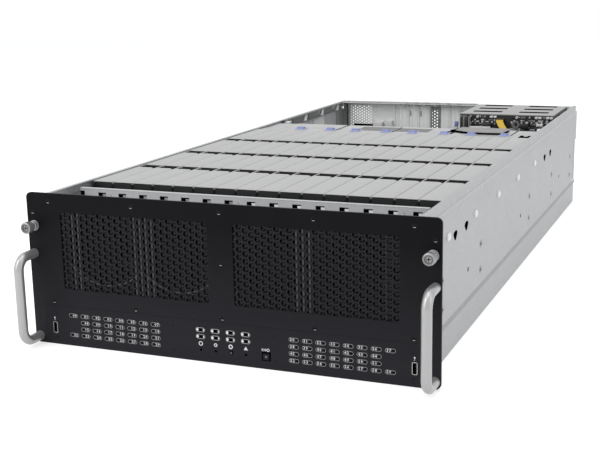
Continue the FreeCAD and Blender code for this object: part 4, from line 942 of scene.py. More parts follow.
def carrier_lid(row):
    """One carrier's lid with its cut corner and rear ear, a raised mark and a leg down each end."""
    bm = bmesh.new()
    top = CARRIER[1].z
    low = top - LID_T
    if row == ROWS - 1:
        end = CARRIER_L
        plan = [(0, 0), (CARRIER_W, 0), (CARRIER_W, end), (0, end)]
    else:
        end, ear = CARRIER_L - LID_SHORT, ROW_PITCH - 0.9
        plan = [(0, 0), (CARRIER_W, 0), (CARRIER_W, end - LID_CORNER), (CARRIER_W - LID_CORNER, end),
                (LID_EAR_W, end), (LID_EAR_W, ear), (0, ear)]
    verts = add_prism(bm, [(x, y, low) for x, y in plan], (0, 0, LID_T))
    round_edges(bm, verts, lambda a, b: min(a.z, b.z) > top - LID_T / 2, LID_EDGE)
    leg = LATCH_T + 0.5
    add_box(bm, (0, CARRIER_W), (leg, leg + LID_T), (CARRIER[0].z, low))
    add_box(bm, (0, CARRIER_W - LID_CORNER), (end - LID_T, end), (CARRIER[0].z, low))
    wide, long, rise = LID_MARK
    add_box(bm, around(0.62 * CARRIER_W, wide), around(LID_MARK_Y, long), (top, top + rise))
    for x, inward in ((0, 1), (CARRIER_W, -1)):
        gusset = [(x, low), (x + inward * LID_GUSSET, low), (x, low - LID_GUSSET - LID_T)]
        add_prism(bm, [(u, 0.1, w) for u, w in gusset], (0, 0.8, 0))
    return bm


def carrier_latch():
    """One latch: charcoal lever with round upper corners and a round front rim."""
    bm = bmesh.new()
    top = LATCH[1].z
    add_box(bm, (0, LATCH[1].x - LATCH[0].x), (0, LATCH_T), (LATCH[0].z, top))
    round_edges(bm, bm.verts[:], lambda a, b: min(a.z, b.z) > top - 1 and abs(a.y - b.y) > 1, LATCH_CORNER, 3)
    round_edges(bm, bm.verts[:], lambda a, b: max(a.y, b.y) < 0.1, LATCH_RIM)
    return bm


def carriers():
    """Lids, legs and latches of the parked carriers and of the four that lift out."""
    bays = [(row, column) for row in range(ROWS) for column in range(COLUMNS) if column != LIFTING_COLUMN]
    lids, levers = new_meshes(2)
    for row in range(ROWS):
        repeat_into(lids, carrier_lid(row), [bay_corner(*bay) for bay in bays if bay[0] == row])
    piece("parked_lids", lids, "lid", replaces=["parked_trays"])
    repeat_into(levers, carrier_latch(), [bay_corner(*bay) for bay in bays])
    piece("parked_levers", levers, "latch", replaces=["parked_latches"])
    for row in range(ROWS):
        number = str(row + 1)
        place = bay_corner(row, LIFTING_COLUMN)
        lid, lever = new_meshes(2)
        repeat_into(lid, carrier_lid(row), [place])
        piece("lid_" + number, lid, "lid", "carrier_" + number, ["tray_" + number])
        repeat_into(lever, carrier_latch(), [place])
        piece("lever_" + number, lever, "latch", "latch_" + number, ["latch_" + number])


def lifted_disks():
    """Pressed cover plate and screws on one face of each lifting disk, a circuit board on the other."""
    for row in range(ROWS):
        number = str(row + 1)
        low, high = box("disk_" + number)
        middle = middle_of((low, high))
        plate, screws, board, chips = new_meshes(4)
        inner_y = inside((low.y, high.y), DISK_MARGIN)
        inner_z = inside((low.z, high.z), DISK_MARGIN)
        verts = add_box(plate, (high.x - 0.05, high.x + 0.12), inner_y, inner_z)
        round_edges(plate, verts, lambda a, b: abs(a.x - b.x) > 0.1, PLATE_CORNER, 4)
        for share, rise in PLATE_RINGS:
            radius = share * min(high.y - low.y, high.z - low.z)
            add_rod(plate, (high.x, middle.y, middle.z), "X", radius, 2 * rise, 48, radius - 0.3)
        for y in inside(inner_y, DISK_SCREW_IN):
            for z in inside(inner_z, DISK_SCREW_IN):
                add_rod(screws, (high.x + 0.1, y, z), "X", DISK_SCREW_R, 0.3, 16)
        board_z = (low.z + 2, low.z + 0.55 * (high.z - low.z))
        add_box(board, (low.x - 0.12, low.x + 0.05), (low.y + 4, high.y - 4), board_z)
        for k in range(6):
            size = 7 + 4 * (k % 3)
            z = low.z + 16 + 14 * (k % 2)
            add_box(chips, (low.x - 0.3, low.x), around(low.y + 14 + 20 * k, size), around(z, size))
        for name, bm, finish, slot in (("cover", plate, "lid", "disk_alloy"),
                                       ("screws", screws, "grey_screw", "screw_steel"),
                                       ("board", board, "board", "board_green"), ("chips", chips, "chip", "fan_black")):
            piece("disk_%s_%s" % (name, number), bm, finish, "carrier_" + number)


# Front rail: trough, bent tabs in its windows and screws between them

RAIL = box("front_rail")
RAIL_FACE = FRONT + 58
RAIL_TOP = RAIL[1].z
RAIL_T = 1.2
RAIL_FLOOR = RAIL_TOP - 12.4
RAIL_X = (RAIL[0].x + 5.5, RAIL[1].x)
WINDOW_TOP = RAIL_TOP - 4.6
WINDOW_H = 5.8
WINDOW_LOW = WINDOW_TOP - WINDOW_H
WINDOW_W = 10.4
WINDOW_SHIFT = 11.0
RAIL_TAB_T = 0.9
RAIL_TAB_BENT = 0.3
RAIL_SCREWS = (0, 6, 13)
RAIL_SCREW = [(-0.5, 0), (-0.45, 0.7), (-0.7, 1.0), (-0.6, 1.7), (0, 1.9), (0, 0)]


def rail_windows():
    """x of the middle of every window."""
    left = bay_corner(0, 0).x - 0.3
    return [left + COLUMN_PITCH * k + WINDOW_SHIFT for k in range(1, COLUMNS)]


def rail_details():
    """Folded trough with windows, the bent tab in each window painted shaded in the left half and lit in the right
    half, painted shade behind the windows and at the left end, and three screws.
    """
    low, high = RAIL
    windows = rail_windows()
    trough, shade, screws = new_meshes(3)
    face = (RAIL_FACE, RAIL_FACE + RAIL_T)
    under_top = RAIL_TOP - RAIL_T
    add_box(trough, RAIL_X, (RAIL_FACE, high.y), (under_top, RAIL_TOP), 0.3)
    for y, z in (((high.y - RAIL_T, high.y), (low.z, under_top)),
                 ((low.y, RAIL_FACE), (RAIL_FLOOR, RAIL_FLOOR + RAIL_T)),
                 ((low.y, low.y + RAIL_T), (RAIL_FLOOR + RAIL_T, RAIL_TOP)),
                 (face, (WINDOW_TOP, under_top)), (face, (RAIL_FLOOR, WINDOW_LOW))):
        add_box(trough, RAIL_X, y, z)
    edges = [RAIL_X[0]] + [edge for middle in windows for edge in around(middle, WINDOW_W)] + [RAIL_X[1]]
    for x in zip(edges[::2], edges[1::2]):
        add_box(trough, x, face, (WINDOW_LOW, WINDOW_TOP))
    piece("rail_trough", trough, "rail", replaces=["front_rail"])
    # Painted light and shade: the same bent tabs take the darker zinc on the left half and the pale zinc on the right
    # half.
    half = len(windows) // 2
    for name, finish, places in (("rail_tabs_painted_shade", "fold", windows[:half]),
                                 ("rail_tabs_painted_light", "bright_tab", windows[half:])):
        tabs = bmesh.new()
        for middle in places:
            left, right = middle + 0.8, middle + WINDOW_W / 2
            plan = [(left, RAIL_TAB_T), (left, RAIL_TAB_BENT), (right, 0), (right, RAIL_TAB_T)]
            add_prism(tabs, [(u, RAIL_FACE + v, WINDOW_LOW) for u, v in plan], (0, 0, WINDOW_H - 1.5))
        piece(name, tabs, finish)
    # Painted shade: a dark sheet behind the windows and a dark box over the rail's left end.
    add_box(shade, RAIL_X, (RAIL_FACE + 3.4, RAIL_FACE + 3.5), (WINDOW_LOW - 2, WINDOW_TOP + 2))
    add_box(shade, (RAIL_X[0], RAIL_X[0] + 5.5), (RAIL_FACE - 0.1, RAIL_FACE - 0.02), (WINDOW_LOW, WINDOW_TOP + 1))
    piece("rail_painted_shade", shade, "hole")
    for k in RAIL_SCREWS:
        x = (windows[k] + windows[k + 1]) / 2 - 2.6
        add_turned(screws, (x, RAIL_FACE, WINDOW_TOP - 2.6), "Y", RAIL_SCREW, 14)
    piece("rail_screws", screws, "screw")


# Fan modules: cover sheets, light-blue finger tabs and darker inlays

MODULES = 4
MODULE_FRONT = box("fan_module_1")[0].y
TAB_RISE = 1.6
COVER_RISE = 1.8
TAB_X = (-13, 37)
TAB_W = 16
HUMP_W = 11.5
HUMP = ((-7, 0.8), (-4.5, 2.8), (-1.5, 3.8), (1.5, 3.8), (4.5, 2.8), (7, 0.8))
FLAP_OUTLINE = ((95, 628), (112, 617), (124, 611), (150, 611), (171, 613.5), (174, 661), (97, 664))
FLAP_GAP = ((86, 633), (104, 620), (122, 611.5), (150, 611.5), (170, 614), (173, 650), (98, 660))

# Left, right, near and far ends of the flat marks on some of the modules
INLAYS = {2: (-14, 43, 6, 46), 3: (-43, 8, 6, 42)}
SLITS = {3: (34, 43, 12, 26)}

# x, width, distance from the sill's edges and rise of its slots in painted shade
SILL_SLOTS = ((201.5, 4.5, 1.5, 2.2), (207, 8, 4, 1.2), (212.5, 4.5, 1.5, 2.2))


def add_finger_tab(humps, feet, x, y, z):
    """Folded pull tab: a pale flat foot and a round hump to hold it by."""
    add_box(feet, around(x, TAB_W), (y - 9, y + 11), (z, z + 1.0), 0.4)
    verts = add_prism(humps, [(x - HUMP_W / 2, y + along, z + rise) for along, rise in HUMP], (HUMP_W, 0, 0))
    round_edges(humps, verts, lambda a, b: abs(a.x - b.x) < 0.001, 0.5)


def fan_module_tops():
    """Cover sheet, two finger tabs and darker inlays on each module, slits in painted shade, the flap with painted
    shadow in the gap under it, and the sill in front of them with slots in painted shade.
    """
    sill, dark = new_meshes(2)
    for k in range(1, MODULES + 1):
        body = "fan_module_%d" % k
        low, high = box(body)
        top = high.z - TAB_RISE
        lid = top + COVER_RISE
        middle = (low.x + high.x) / 2
        sheet, tabs, feet = new_meshes(3)
        add_box(sheet, (low.x + 0.3, high.x - 0.3), (low.y + 0.3, high.y - 0.3), (top, lid), 0.5)
        piece("module_cover_%d" % k, sheet, "module_cover", body)
        for x in TAB_X:
            add_finger_tab(tabs, feet, middle + x, low.y - 1.5, lid - 0.2)
        piece("module_tabs_%d" % k, tabs, "tab", body)
        piece("module_tab_feet_%d" % k, feet, "tab_foot", body)
        # The slits take the painted shade; the inlays are darker grey plastic.
        for name, finish, rise, marks in (("inlay", "module_inlay", 0.25, INLAYS), ("slit", "hole", 0.3, SLITS)):
            if k in marks:
                left, right, near, far = marks[k]
                flat = bmesh.new()
                add_box(flat, (middle + left, middle + right), (low.y + near, low.y + far), (lid - 0.2, lid + rise))
                piece("module_%s_%d" % (name, k), flat, finish, body)
    # Painted shadow: the flap gap is a black wedge under the flap.
    for name, finish, low, rise, outline in (("flap", "flap", 2.8, 0.7, FLAP_OUTLINE),
                                             ("flap_gap", "hole", -0.2, 3.0, FLAP_GAP)):
        flat = bmesh.new()
        add_prism(flat, [(x, FRONT + d, lid + low) for x, d in outline], (0, 0, rise))
        piece("module_" + name, flat, finish, body)
    edge = bay_corner(0, 0).x
    back = MODULE_FRONT - 0.6
    front = bay_corner(ROWS - 1, 0).y + CARRIER_L + 0.4
    top = box("fan_wall")[1].z
    add_box(sill, (edge, -edge), (front, back), (top + 0.05, top + 0.6), 0.2)
    add_box(sill, (edge, -edge), (front, front + 1.2), (top - 12, top + 0.1))
    piece("module_sill", sill, "module_cover")
    # Painted shade in the sill's slots.
    for x, width, inset, rise in SILL_SLOTS:
        add_box(dark, around(x, width), (front + inset, back - inset), (top + 0.5, top + rise), 0.3)
    piece("sill_slot", dark, "hole")


# Side walls: studs, keyhole slots, screws, small slots, painted shade along the folds and crest slopes

WALL = box("side_wall_right")
WALL_X = 223.5
CHANNEL = box("cover_rails")
CREST_IN = CHANNEL[1].x
CREST_LOW = WALL[1].z - 11.9
CREST_SLOPE = ((0.1, 0), (-1.9, 2.1), (-2.1, 1.9), (-0.1, -0.1))
STUD_Y = [ROW_PITCH * k - (ROW_PITCH - CARRIER_L) / 2 + CARRIER[0].y for k in range(ROWS + 1)]
STUD_Z = middle_of(box("wall_studs")).z
STUD_OUT = 1.6
STUD_DROP = (3.6, 2.1, 3.6)
STUD_STRETCH = 2.0
KEYHOLE_D = (123, 173, 676, 726)
KEYHOLE_Z = 132
KEYHOLE_DROP = (3.6, 1.6, 5.4)
KEYHOLE_STRETCH = 2.4
WALL_SCREW_D = (70, 247, 556, 746, 935)
WALL_SCREW_Z = (94, 62)
WALL_SCREW_R = 5.0
WALL_CROSS = ((10, 1.2), (3.4, 4.0))
WALL_SLOT_D = (184, 492, 820)
WALL_SLOT_Z = 78
FOLD_SHADE_Z = (37.6, 44)
FOLD_SHADE_END_D = 1000


def teardrop(wide, narrow, rise, sides=20):
    """Outline in y and z: a round foot that narrows to a smaller round top."""
    points = []
    for k in range(sides):
        angle = 2 * math.pi * k / sides
        radius, lift = (narrow, rise) if math.sin(angle) > 0.35 else (wide, 0)
        points.append((radius * math.cos(angle), radius * math.sin(angle) + lift))
    return points


def wall_details():
    """Hook studs, keyholes and small slots in painted shade, and flat screws with crosses painted as shade, on the
    outer faces of the walls.
    """
    studs, hollows, crosses, screws = new_meshes(4)
    for side in SIDES:
        for y in STUD_Y:
            drop = [(side * WALL_X, y + STUD_STRETCH * u, STUD_Z - 1.4 + w) for u, w in teardrop(*STUD_DROP)]
            verts = add_prism(studs, drop, (side * STUD_OUT, 0, 0))
            round_edges(studs, verts, lambda a, b: min(abs(a.x), abs(b.x)) > WALL_X + STUD_OUT - 0.1, 0.7)
        for d in KEYHOLE_D:
            drop = [(side * (WALL_X + 0.05), FRONT + d + KEYHOLE_STRETCH * u, KEYHOLE_Z + 1.2 - w)
                    for u, w in teardrop(*KEYHOLE_DROP)]
            add_prism(hollows, drop, (-side * 0.6, 0, 0))
        for d in WALL_SLOT_D:
            add_box(hollows, around(side * WALL_X, 0.1), around(FRONT + d, 4.4), around(WALL_SLOT_Z, 5), 0.04)
        head = [(0, 0), (0, WALL_SCREW_R), (side * 0.25, WALL_SCREW_R - 0.3), (side * 0.3, 0)]
        for y, z in [(FRONT + d, z) for d in WALL_SCREW_D for z in WALL_SCREW_Z]:
            add_turned(screws, (side * WALL_X, y, z), "X", head, 16)
            for long, tall in WALL_CROSS:
                # Painted shade: dark crosses for the recesses in the screw heads.
                add_box(crosses, around(side * (WALL_X + 0.3), 0.1), around(y, long), around(z, tall))
    piece("wall_hooks", studs, "bright_stud", replaces=["wall_studs"])
    piece("wall_keyholes", hollows, "hole")
    piece("wall_crosses", crosses, "chip")
    piece("wall_screws", screws, "wall_screw")


def wall_folds():
    """Strip of painted shade along each wall above its set-in band, where the step shades the wall, and the slope under
    its crest.
    """
    fold_shades, slopes = new_meshes(2)
    front, back = WALL[0].y + 1, WALL[1].y - 1
    for side in SIDES:
        add_box(fold_shades, mirrored(side, WALL_X, WALL_X + 0.15), (front, FRONT + FOLD_SHADE_END_D), FOLD_SHADE_Z)
        outline = [(side * (WALL_X + out), front, CREST_LOW + rise) for out, rise in CREST_SLOPE]
        add_prism(slopes, outline, (0, back - front, 0))
    piece("wall_folds", fold_shades, "fold")
    piece("crest_slopes", slopes, "crest")


# Rear wall: vent sheet, card slot covers, crest and sockets

COVER_BOX = box("slot_covers")
SLOT_PITCH = 20.32
SLOT_W = 18.4
SLOTS = 6
SLOT_LAST = COVER_BOX[1].x - SLOT_W / 2
SLOT_Z = (58, 170)
COVER_T = 1.2
COVER_SCREW = [(0, 0), (0, 3.0), (1.4, 2.8), (1.9, 1.8), (1.9, 0)]
COVER_RIB_X = 4.2
COVER_RIB_W = 1.6
COVER_ARCH = (5.1, 6.4)
OPEN_SLOT = 3

# Pitch, rib and thickness of the two rear meshes
OPEN_MESH = (5.6, 2.8, COVER_T)
REAR_MESH = (5.2, 3.1, 1.0)

VENT_BLANK_X = -164
REAR_VENT_X = (COVER_BOX[0].x, -115.9)
REAR_VENT_Z = (58, 169)
REAR_RIM = 3.0
CAGE = box("psu_cage")
SOCKET_BACK = COVER_BOX[1].y - 1.3
POST_Z = (44, 160)
DASH_X = (-85, -65)
DASH_Z = (149, 159)
LABEL_D = (846, 898)
LABEL_Z = (141, 158)
LABEL_T = 0.12

# x, depth, z and rounding of the slots in painted shade and of the pale sockets
DARK_SLOTS = (((-198, -158), 3, (127.5, 131.5), 0.4), ((-213.6, -211.4), 1, (80, 168), 0.3))
PALE_SOCKETS = (((-157, -139), 12, (126, 137), 0.8), ((-134, -120), 9, (126, 140), 0.8))


def slot_middles():
    """x of the middle of every card slot."""
    return [SLOT_LAST - SLOT_PITCH * (SLOTS - 1 - k) for k in range(SLOTS)]


def rear_covers():
    """Fine hexagon vent, plain slot covers with a folded screw tab, and one open-mesh cover."""
    near, back = COVER_BOX[0].y, COVER_BOX[1].y
    face = back - COVER_T
    top = SLOT_Z[1]
    plain, screws, open_frame = new_meshes(3)
    add_hex_sheet(plain, inside(REAR_VENT_X, REAR_RIM), inside(REAR_VENT_Z, REAR_RIM), back - 1, *REAR_MESH)
    add_frame(plain, REAR_VENT_X, (back - 1, back), REAR_VENT_Z, REAR_RIM)
    for k, middle in enumerate(slot_middles()):
        wide = around(middle, SLOT_W)
        add_box(plain, wide, (near, face), (top - COVER_T, top), 0.3)
        add_turned(screws, (middle, near + 4, top), "Z", COVER_SCREW, 16)
        if k == OPEN_SLOT:
            add_hex_sheet(open_frame, inside(wide, REAR_RIM), inside(SLOT_Z, REAR_RIM), face, *OPEN_MESH)
            add_frame(open_frame, wide, (face - COVER_T, back), SLOT_Z, REAR_RIM, 0.3)
        else:
            add_box(plain, wide, (face, back), SLOT_Z, 0.3)
            for x in (middle - COVER_RIB_X, middle + COVER_RIB_X):
                add_box(plain, around(x, COVER_RIB_W), (face - 0.7, face + 0.1), (SLOT_Z[0] + 8, top - 12), 0.3)
            add_arch(plain, middle, face - 0.6, top - 10, *COVER_ARCH, 0, 180, 0.7)
    add_box(plain, (VENT_BLANK_X, REAR_VENT_X[1]), (back + 0.1, back + 0.9), REAR_VENT_Z)
    piece("rear_covers", plain, "rear_sheet", replaces=["slot_covers"])
    piece("open_cover_frame", open_frame, "flap")
    piece("cover_screws", screws, "screw")


def rear_crest():
    """Folded strip along the top of the rear wall, painted dark for the shadow of its lip, with a tab over each slot
    and slits of painted shade between.
    """
    low, high = box("rear_panel")
    strip, tabs, slits = new_meshes(3)
    add_box(strip, (low.x + 4, CAGE[0].x - 2), (low.y + 0.6, high.y - 0.4), (high.z - 0.2, high.z + 1.2), 0.3)
    for middle in slot_middles():
        add_box(tabs, around(middle, 11), (low.y + 2, high.y - 4), (high.z + 1.1, high.z + 2.2), 0.4)
        add_box(slits, around(middle + SLOT_PITCH / 2, 5), (low.y + 0.5, low.y + 0.7), (high.z + 0.2, high.z + 0.9))
    piece("rear_crest", strip, "fold")
    piece("rear_crest_tabs", tabs, "crest")
    piece("rear_crest_slits", slits, "hole")


def rear_sockets():
    """Lead slot and a long line in painted shade and two pale sockets on the rear wall, its corner posts and a bare
    label on the left wall.
    """
    back = SOCKET_BACK
    dark, dashes, posts, pale, label = new_meshes(5)
    for bm, places in ((dark, DARK_SLOTS), (pale, PALE_SOCKETS)):
        for x, deep, z, rounding in places:
            add_box(bm, x, (back - deep, back), z, rounding)
    piece("lead_slot", dark, "hole")
    for x in DASH_X:
        add_box(dashes, around(x, 1.3), (back - 1.5, back), DASH_Z, 0.3)
    piece("cover_dashes", dashes, "coil")
    for side in SIDES:
        add_box(posts, mirrored(side, WALL_X - 1.3, WALL_X - 2.3), (FRONT + 962, back), POST_Z)
        add_box(posts, mirrored(side, WALL_X - 1.3, WALL_X - 15), (back - 1.0, back - 0.1), POST_Z)
        add_box(posts, mirrored(side, CREST_IN - 0.3, CREST_IN - 8), (back - 1.0, back - 0.1), (POST_Z[1], 171.8))
    piece("corner_posts", posts, "cage")
    piece("wall_sockets", pale, "white")
    wall = -(WALL_X - 1.2)
    add_box(label, (wall, wall + LABEL_T), [FRONT + d for d in LABEL_D], LABEL_Z)
    piece("bare_label", label, "label")


# Lid channels

CHANNEL_SLOT_D = (700, 788, 871, 952)
NOTCH_D = (724, 858, 931)
NOTCH_X = (213.6, 216.8)
LANCE_W = 9
LANCE_OUT = 3.5
LANCE_LEAN = 13
CHANNEL_TOP = WALL[1].z - 0.2


def channel_windows():
    """Bright lanced tabs in the lid channels, a catch at the front of each in the painted-light zinc, and notches of
    painted shade in the right crest.
    """
    low, high = CHANNEL
    bright, catches, notches = new_meshes(3)
    for side in SIDES:
        web = side * (high.x - 1.3)
        foot, head = low.z + 1.4, high.z - 1.4
        for d in CHANNEL_SLOT_D:
            near = FRONT + d - LANCE_W / 2
            lance = [(web, near, foot), (web - side * LANCE_OUT, near, foot), (web, near + LANCE_LEAN, head)]
            add_prism(bright, lance, (0, LANCE_W, 0))
        add_box(catches, mirrored(side, high.x - 13, high.x - 1.4), (low.y + 2, low.y + 12), (foot, high.z - 2), 1.0)
    for d in NOTCH_D:
        add_box(notches, NOTCH_X, around(FRONT + d, 11), (CHANNEL_TOP - 1.6, CHANNEL_TOP), 0.3)
    piece("crest_notches", notches, "hole")
    piece("channel_slots", bright, "bright_stud")
    piece("lid_catches", catches, "bright_tab")


# Power board and its lead

BOARD_BOX = box("power_board")
BOARD_FACE = BOARD_BOX[1].y - 2
LEAD_ZONE = (110, 136)
SMALL_COLUMNS = 38
SMALL_ROWS = 7
PALE_PLUG_X = (102, 108, 178, 184, 197, 203)
ROOF_SLOT = (50, 16)
ROOF_SLOT_X = 40
ROOF_SLOT_D = (895, 941, 987)


def on_face(bm, x, z, wide, tall, deep, rounding, segments=2):
    """Box that stands out of the power board's face."""
    add_box(bm, around(x, wide), (BOARD_FACE - deep, BOARD_FACE), around(z, tall), rounding, segments)


def power_parts():
    """Power board with its plugs, coils, capacitors and chips, and boxes of painted shade in the roof slots."""
    left, right = BOARD_BOX[0].x, BOARD_BOX[1].x
    low, high = BOARD_BOX[0].z, BOARD_BOX[1].z
    board, black, pale, silver, coil, hollow = new_meshes(6)
    add_box(board, (left, right), (BOARD_FACE, BOARD_BOX[1].y), (low, high))
    for k in range(5):
        on_face(black, left + (right - left) * (k + 0.5) / 5, low + 12 * (1 + k % 2) + 4, 15, 8, 8, 0.5)
    for k in range(SMALL_COLUMNS):
        x = left + (right - left) * (k + 0.5) / SMALL_COLUMNS
        if LEAD_ZONE[0] < x < LEAD_ZONE[1]:
            continue
        for row in range(SMALL_ROWS):
            z = high - (3.0 + 3.9 * row + 0.7 * ((k * 3 + row * 2) % 3))
            kind = (k * 5 + row * 3 + k * row // 2) % 8
            wide = 1.9 + 0.9 * ((k + 2 * row) % 4)
            tall = 1.5 + 0.9 * ((2 * k + row) % 3)
            deep = 1.5 + 1.2 * ((k + row) % 4)
            if kind == 3:
                add_rod(silver, (x, BOARD_FACE - deep / 2, z), "Y", 2.2, deep, 12)
            elif kind != 7:
                chosen = (silver, black, coil, None, silver, coil, black)[kind]
                on_face(chosen, x, z, wide, tall, deep, 0.2, 1)
    for x in PALE_PLUG_X:
        on_face(pale, x, high - 2.8, 4.6, 3.2, 6, 0.5)
    add_turned(coil, (143, BOARD_FACE - 5, 158), "Y", tube(0, 5, 3.4, 6.8), 20)
    on_face(pale, 184, 158, 11, 4, 8, 0.5)
    for k in range(4):
        on_face(coil if k % 2 else black, left + 4 + 4.6 * k, (low + high + 5) / 2, 3.2, high - low - 11, 10, 0.5)
    add_box(pale, (left + 20, left + 56), (BOARD_FACE - 14, BOARD_FACE - 10), (low + 20, low + 26), 0.6)
    piece("board_plate", board, "dark_board", replaces=["power_board"])
    piece("board_plugs", black, "chip")
    piece("board_sockets", pale, "white")
    piece("board_capacitors", silver, "tinned")
    piece("board_coils", coil, "coil")
    for side in SIDES:
        x = (left + right) / 2 + side * ROOF_SLOT_X
        for d in ROOF_SLOT_D:
            add_box(hollow, around(x, ROOF_SLOT[0]), around(FRONT + d, ROOF_SLOT[1]),
                    (CAGE[1].z - 0.5, CAGE[1].z + 0.1))
    piece("roof_hollows", hollow, "hole")


RIBBON_W = 12
RIBBON_T = 0.8
RIBBON_PATH = ((116, 855.4, 165), (116, 850, 165.4), (117.5, 843, 163.5), (121.5, 836, 159), (127.5, 829, 152.5),
               (132, 824, 145), (134, 821, 136), (134, 820, 120), (128, 820, 80), (122, 820, 20))
CLIP_ARM = ((27, 126), (43, 126), (43, 151.5), (38, 154), (31, 144))


def ribbon():
    """Flat yellow lead that bows out of its plug and leans over as it falls, and the clip beside it."""
    lead, plug, clip, arm = new_meshes(4)
    pairs = [[lead.verts.new(metres((x + side * RIBBON_W / 2, FRONT + d, z))) for side in SIDES]
             for x, d, z in RIBBON_PATH]
    for first, second in zip(pairs, pairs[1:]):
        bmesh.ops.contextual_create(lead, geom=first + second)
    bmesh.ops.subdivide_edges(lead, edges=lead.edges[:], cuts=2, smooth=0.8, use_grid_fill=True)
    bmesh.ops.solidify(lead, geom=lead.faces[:], thickness=RIBBON_T * MM)
    piece("yellow_lead", lead, "ribbon", replaces=["ribbon_cable"])
    on_face(plug, RIBBON_PATH[0][0], RIBBON_PATH[0][2], 16, 5, 4.5, 0.5)
    piece("lead_plug", plug, "chip")
    add_box(clip, (38, 44), (BOARD_FACE - 8, BOARD_FACE - 2), (152, 161), 1.2)
    piece("blue_clip", clip, "tab")
    add_prism(arm, [(x, BOARD_FACE - 7, z) for x, z in CLIP_ARM], (0, 5, 0))
    piece("clip_arm", arm, "white")


# Mainboard and supplies

MAINBOARD = box("mainboard")
BOARD_TOP = MAINBOARD[0].z + 1.6
SINKS = box("heatsinks")
SINK_SIDE = 78
SINK_MIDDLES = (SINKS[0].x + SINK_SIDE / 2, SINKS[1].x - SINK_SIDE / 2)
MEMORY = box("memory_modules")
MEMORY_Y = middle_of(MEMORY).y
MEMORY_STEP = (SINK_MIDDLES[0] - SINK_SIDE / 2 - MEMORY[0].x - 1.5) / 4
CHIP_STEP = 13.4
CHIP_GAP = 6
SOCKET_END = 69.5
SOCKET_H = 5.9
CARD_SOCKET_D = (868, 942)
BRIDGE_X = -170
BRIDGE_D = 905
COIL_SIZE = (9, 7, 7)
CAPACITOR_R = 3.6
CAPACITOR_H = 9
PLUG_X = (60, 84, 108)
PORT_KINDS = (("plated", 41.2), ("tab", 37.6), ("plated", 41.2), ("chip", 37.6), ("plated", 41.2))
PORT_ZONE = (-99.92, 30)
PORT_WALL = 1.2
REAR_FACE = FRONT + 1002


def memory_places():
    """x of the memory modules, four on each side of each heatsink."""
    reach = [SINK_SIDE / 2 + MEMORY_STEP * (k + 1) for k in range(4)]
    return [x + side * away for x in SINK_MIDDLES for side in SIDES for away in reach]


def on_board(bm, x, y, wide, long, tall, rounding, segments=2):
    """Box that stands on the mainboard."""
    add_box(bm, around(x, wide), around(y, long), (BOARD_TOP, BOARD_TOP + tall), rounding, segments)


def mainboard_parts():
    """Green board with processor seats, memory and card sockets, coils and capacitors."""
    low, high = MAINBOARD
    plate, black, white, silver, coil = new_meshes(5)
    add_box(plate, (low.x, high.x), (low.y, FRONT + 992), (low.z, BOARD_TOP), 0.3, 1)
    for x in SINK_MIDDLES:
        on_board(black, x, MEMORY_Y, 54, 54, SOCKET_H, 0.8)
        for y in (MEMORY_Y - 46, MEMORY_Y + 46):
            for shift in (-20, 8):
                on_board(coil, x + shift, y, *COIL_SIZE, 0.6)
        for k in range(6):
            foot = (x - 32 + 12.5 * k, MEMORY_Y - 57, BOARD_TOP + CAPACITOR_H / 2)
            add_rod(silver, foot, "Z", CAPACITOR_R, CAPACITOR_H, 16)
    for x in memory_places():
        on_board(black, x, MEMORY_Y, 6, 2 * SOCKET_END - 12, SOCKET_H, 0.4)
        for side in SIDES:
            on_board(white, x, MEMORY_Y + side * (SOCKET_END - 1), 5, 4, 20, 0.9)
    near, far = CARD_SOCKET_D
    for k, x in enumerate(slot_middles()):
        on_board(black if k % 3 else white, x, FRONT + (near + far) / 2, 7.5, far - near, 11, 0.6)
    on_board(black, BRIDGE_X, FRONT + BRIDGE_D, 34, 34, 2.4, 0.4)
    for k in range(8):
        add_box(silver, around(BRIDGE_X, 30), around(FRONT + 891.5 + 3.9 * k, 1.5), (BOARD_TOP + 2.4, BOARD_TOP + 12))
    add_rod(silver, (-130, FRONT + 955, BOARD_TOP + 2), "Z", 10, 4, 32)
    for k in range(10):
        on_board(black, -206 + 7.6 * k, FRONT + 968 - 14 * (k % 2), 5.5, 8, 1.6, 0.3, 1)
        on_board(coil, -206 + 7.6 * k, FRONT + 935 - 9 * (k % 3), 4, 3, 1.2, 0.2, 1)
    for x in PLUG_X:
        on_board(white, x, FRONT + 880, 18, 10, 13, 0.7)
        on_board(black, x, FRONT + 950, 13, 13, 1.8, 0.3)
    x, d, z = RIBBON_PATH[-1]
    on_board(black, x, FRONT + d, 16, 7, z + 2 - BOARD_TOP, 0.5)
    piece("board_sheet", plate, "board", replaces=["mainboard"])
    piece("mainboard_sockets", black, "chip")
    piece("socket_levers", white, "white")
    piece("mainboard_metal", silver, "tinned")
    piece("mainboard_coils", coil, "coil")


def memory_chips():
    """Chips on both faces of every memory module, with a gap after the middle one."""
    chips, unit = new_meshes(2)
    add_box(unit, around(0, 4.4), around(0, 9.5), around(0, 12))
    places = [(x, MEMORY_Y + CHIP_STEP * k + (CHIP_GAP if k > 0 else 0), MEMORY[0].z + 18)
              for x in memory_places() for k in range(-4, 5)]
    repeat_into(chips, unit, places)
    piece("memory_chips", chips, "chip")


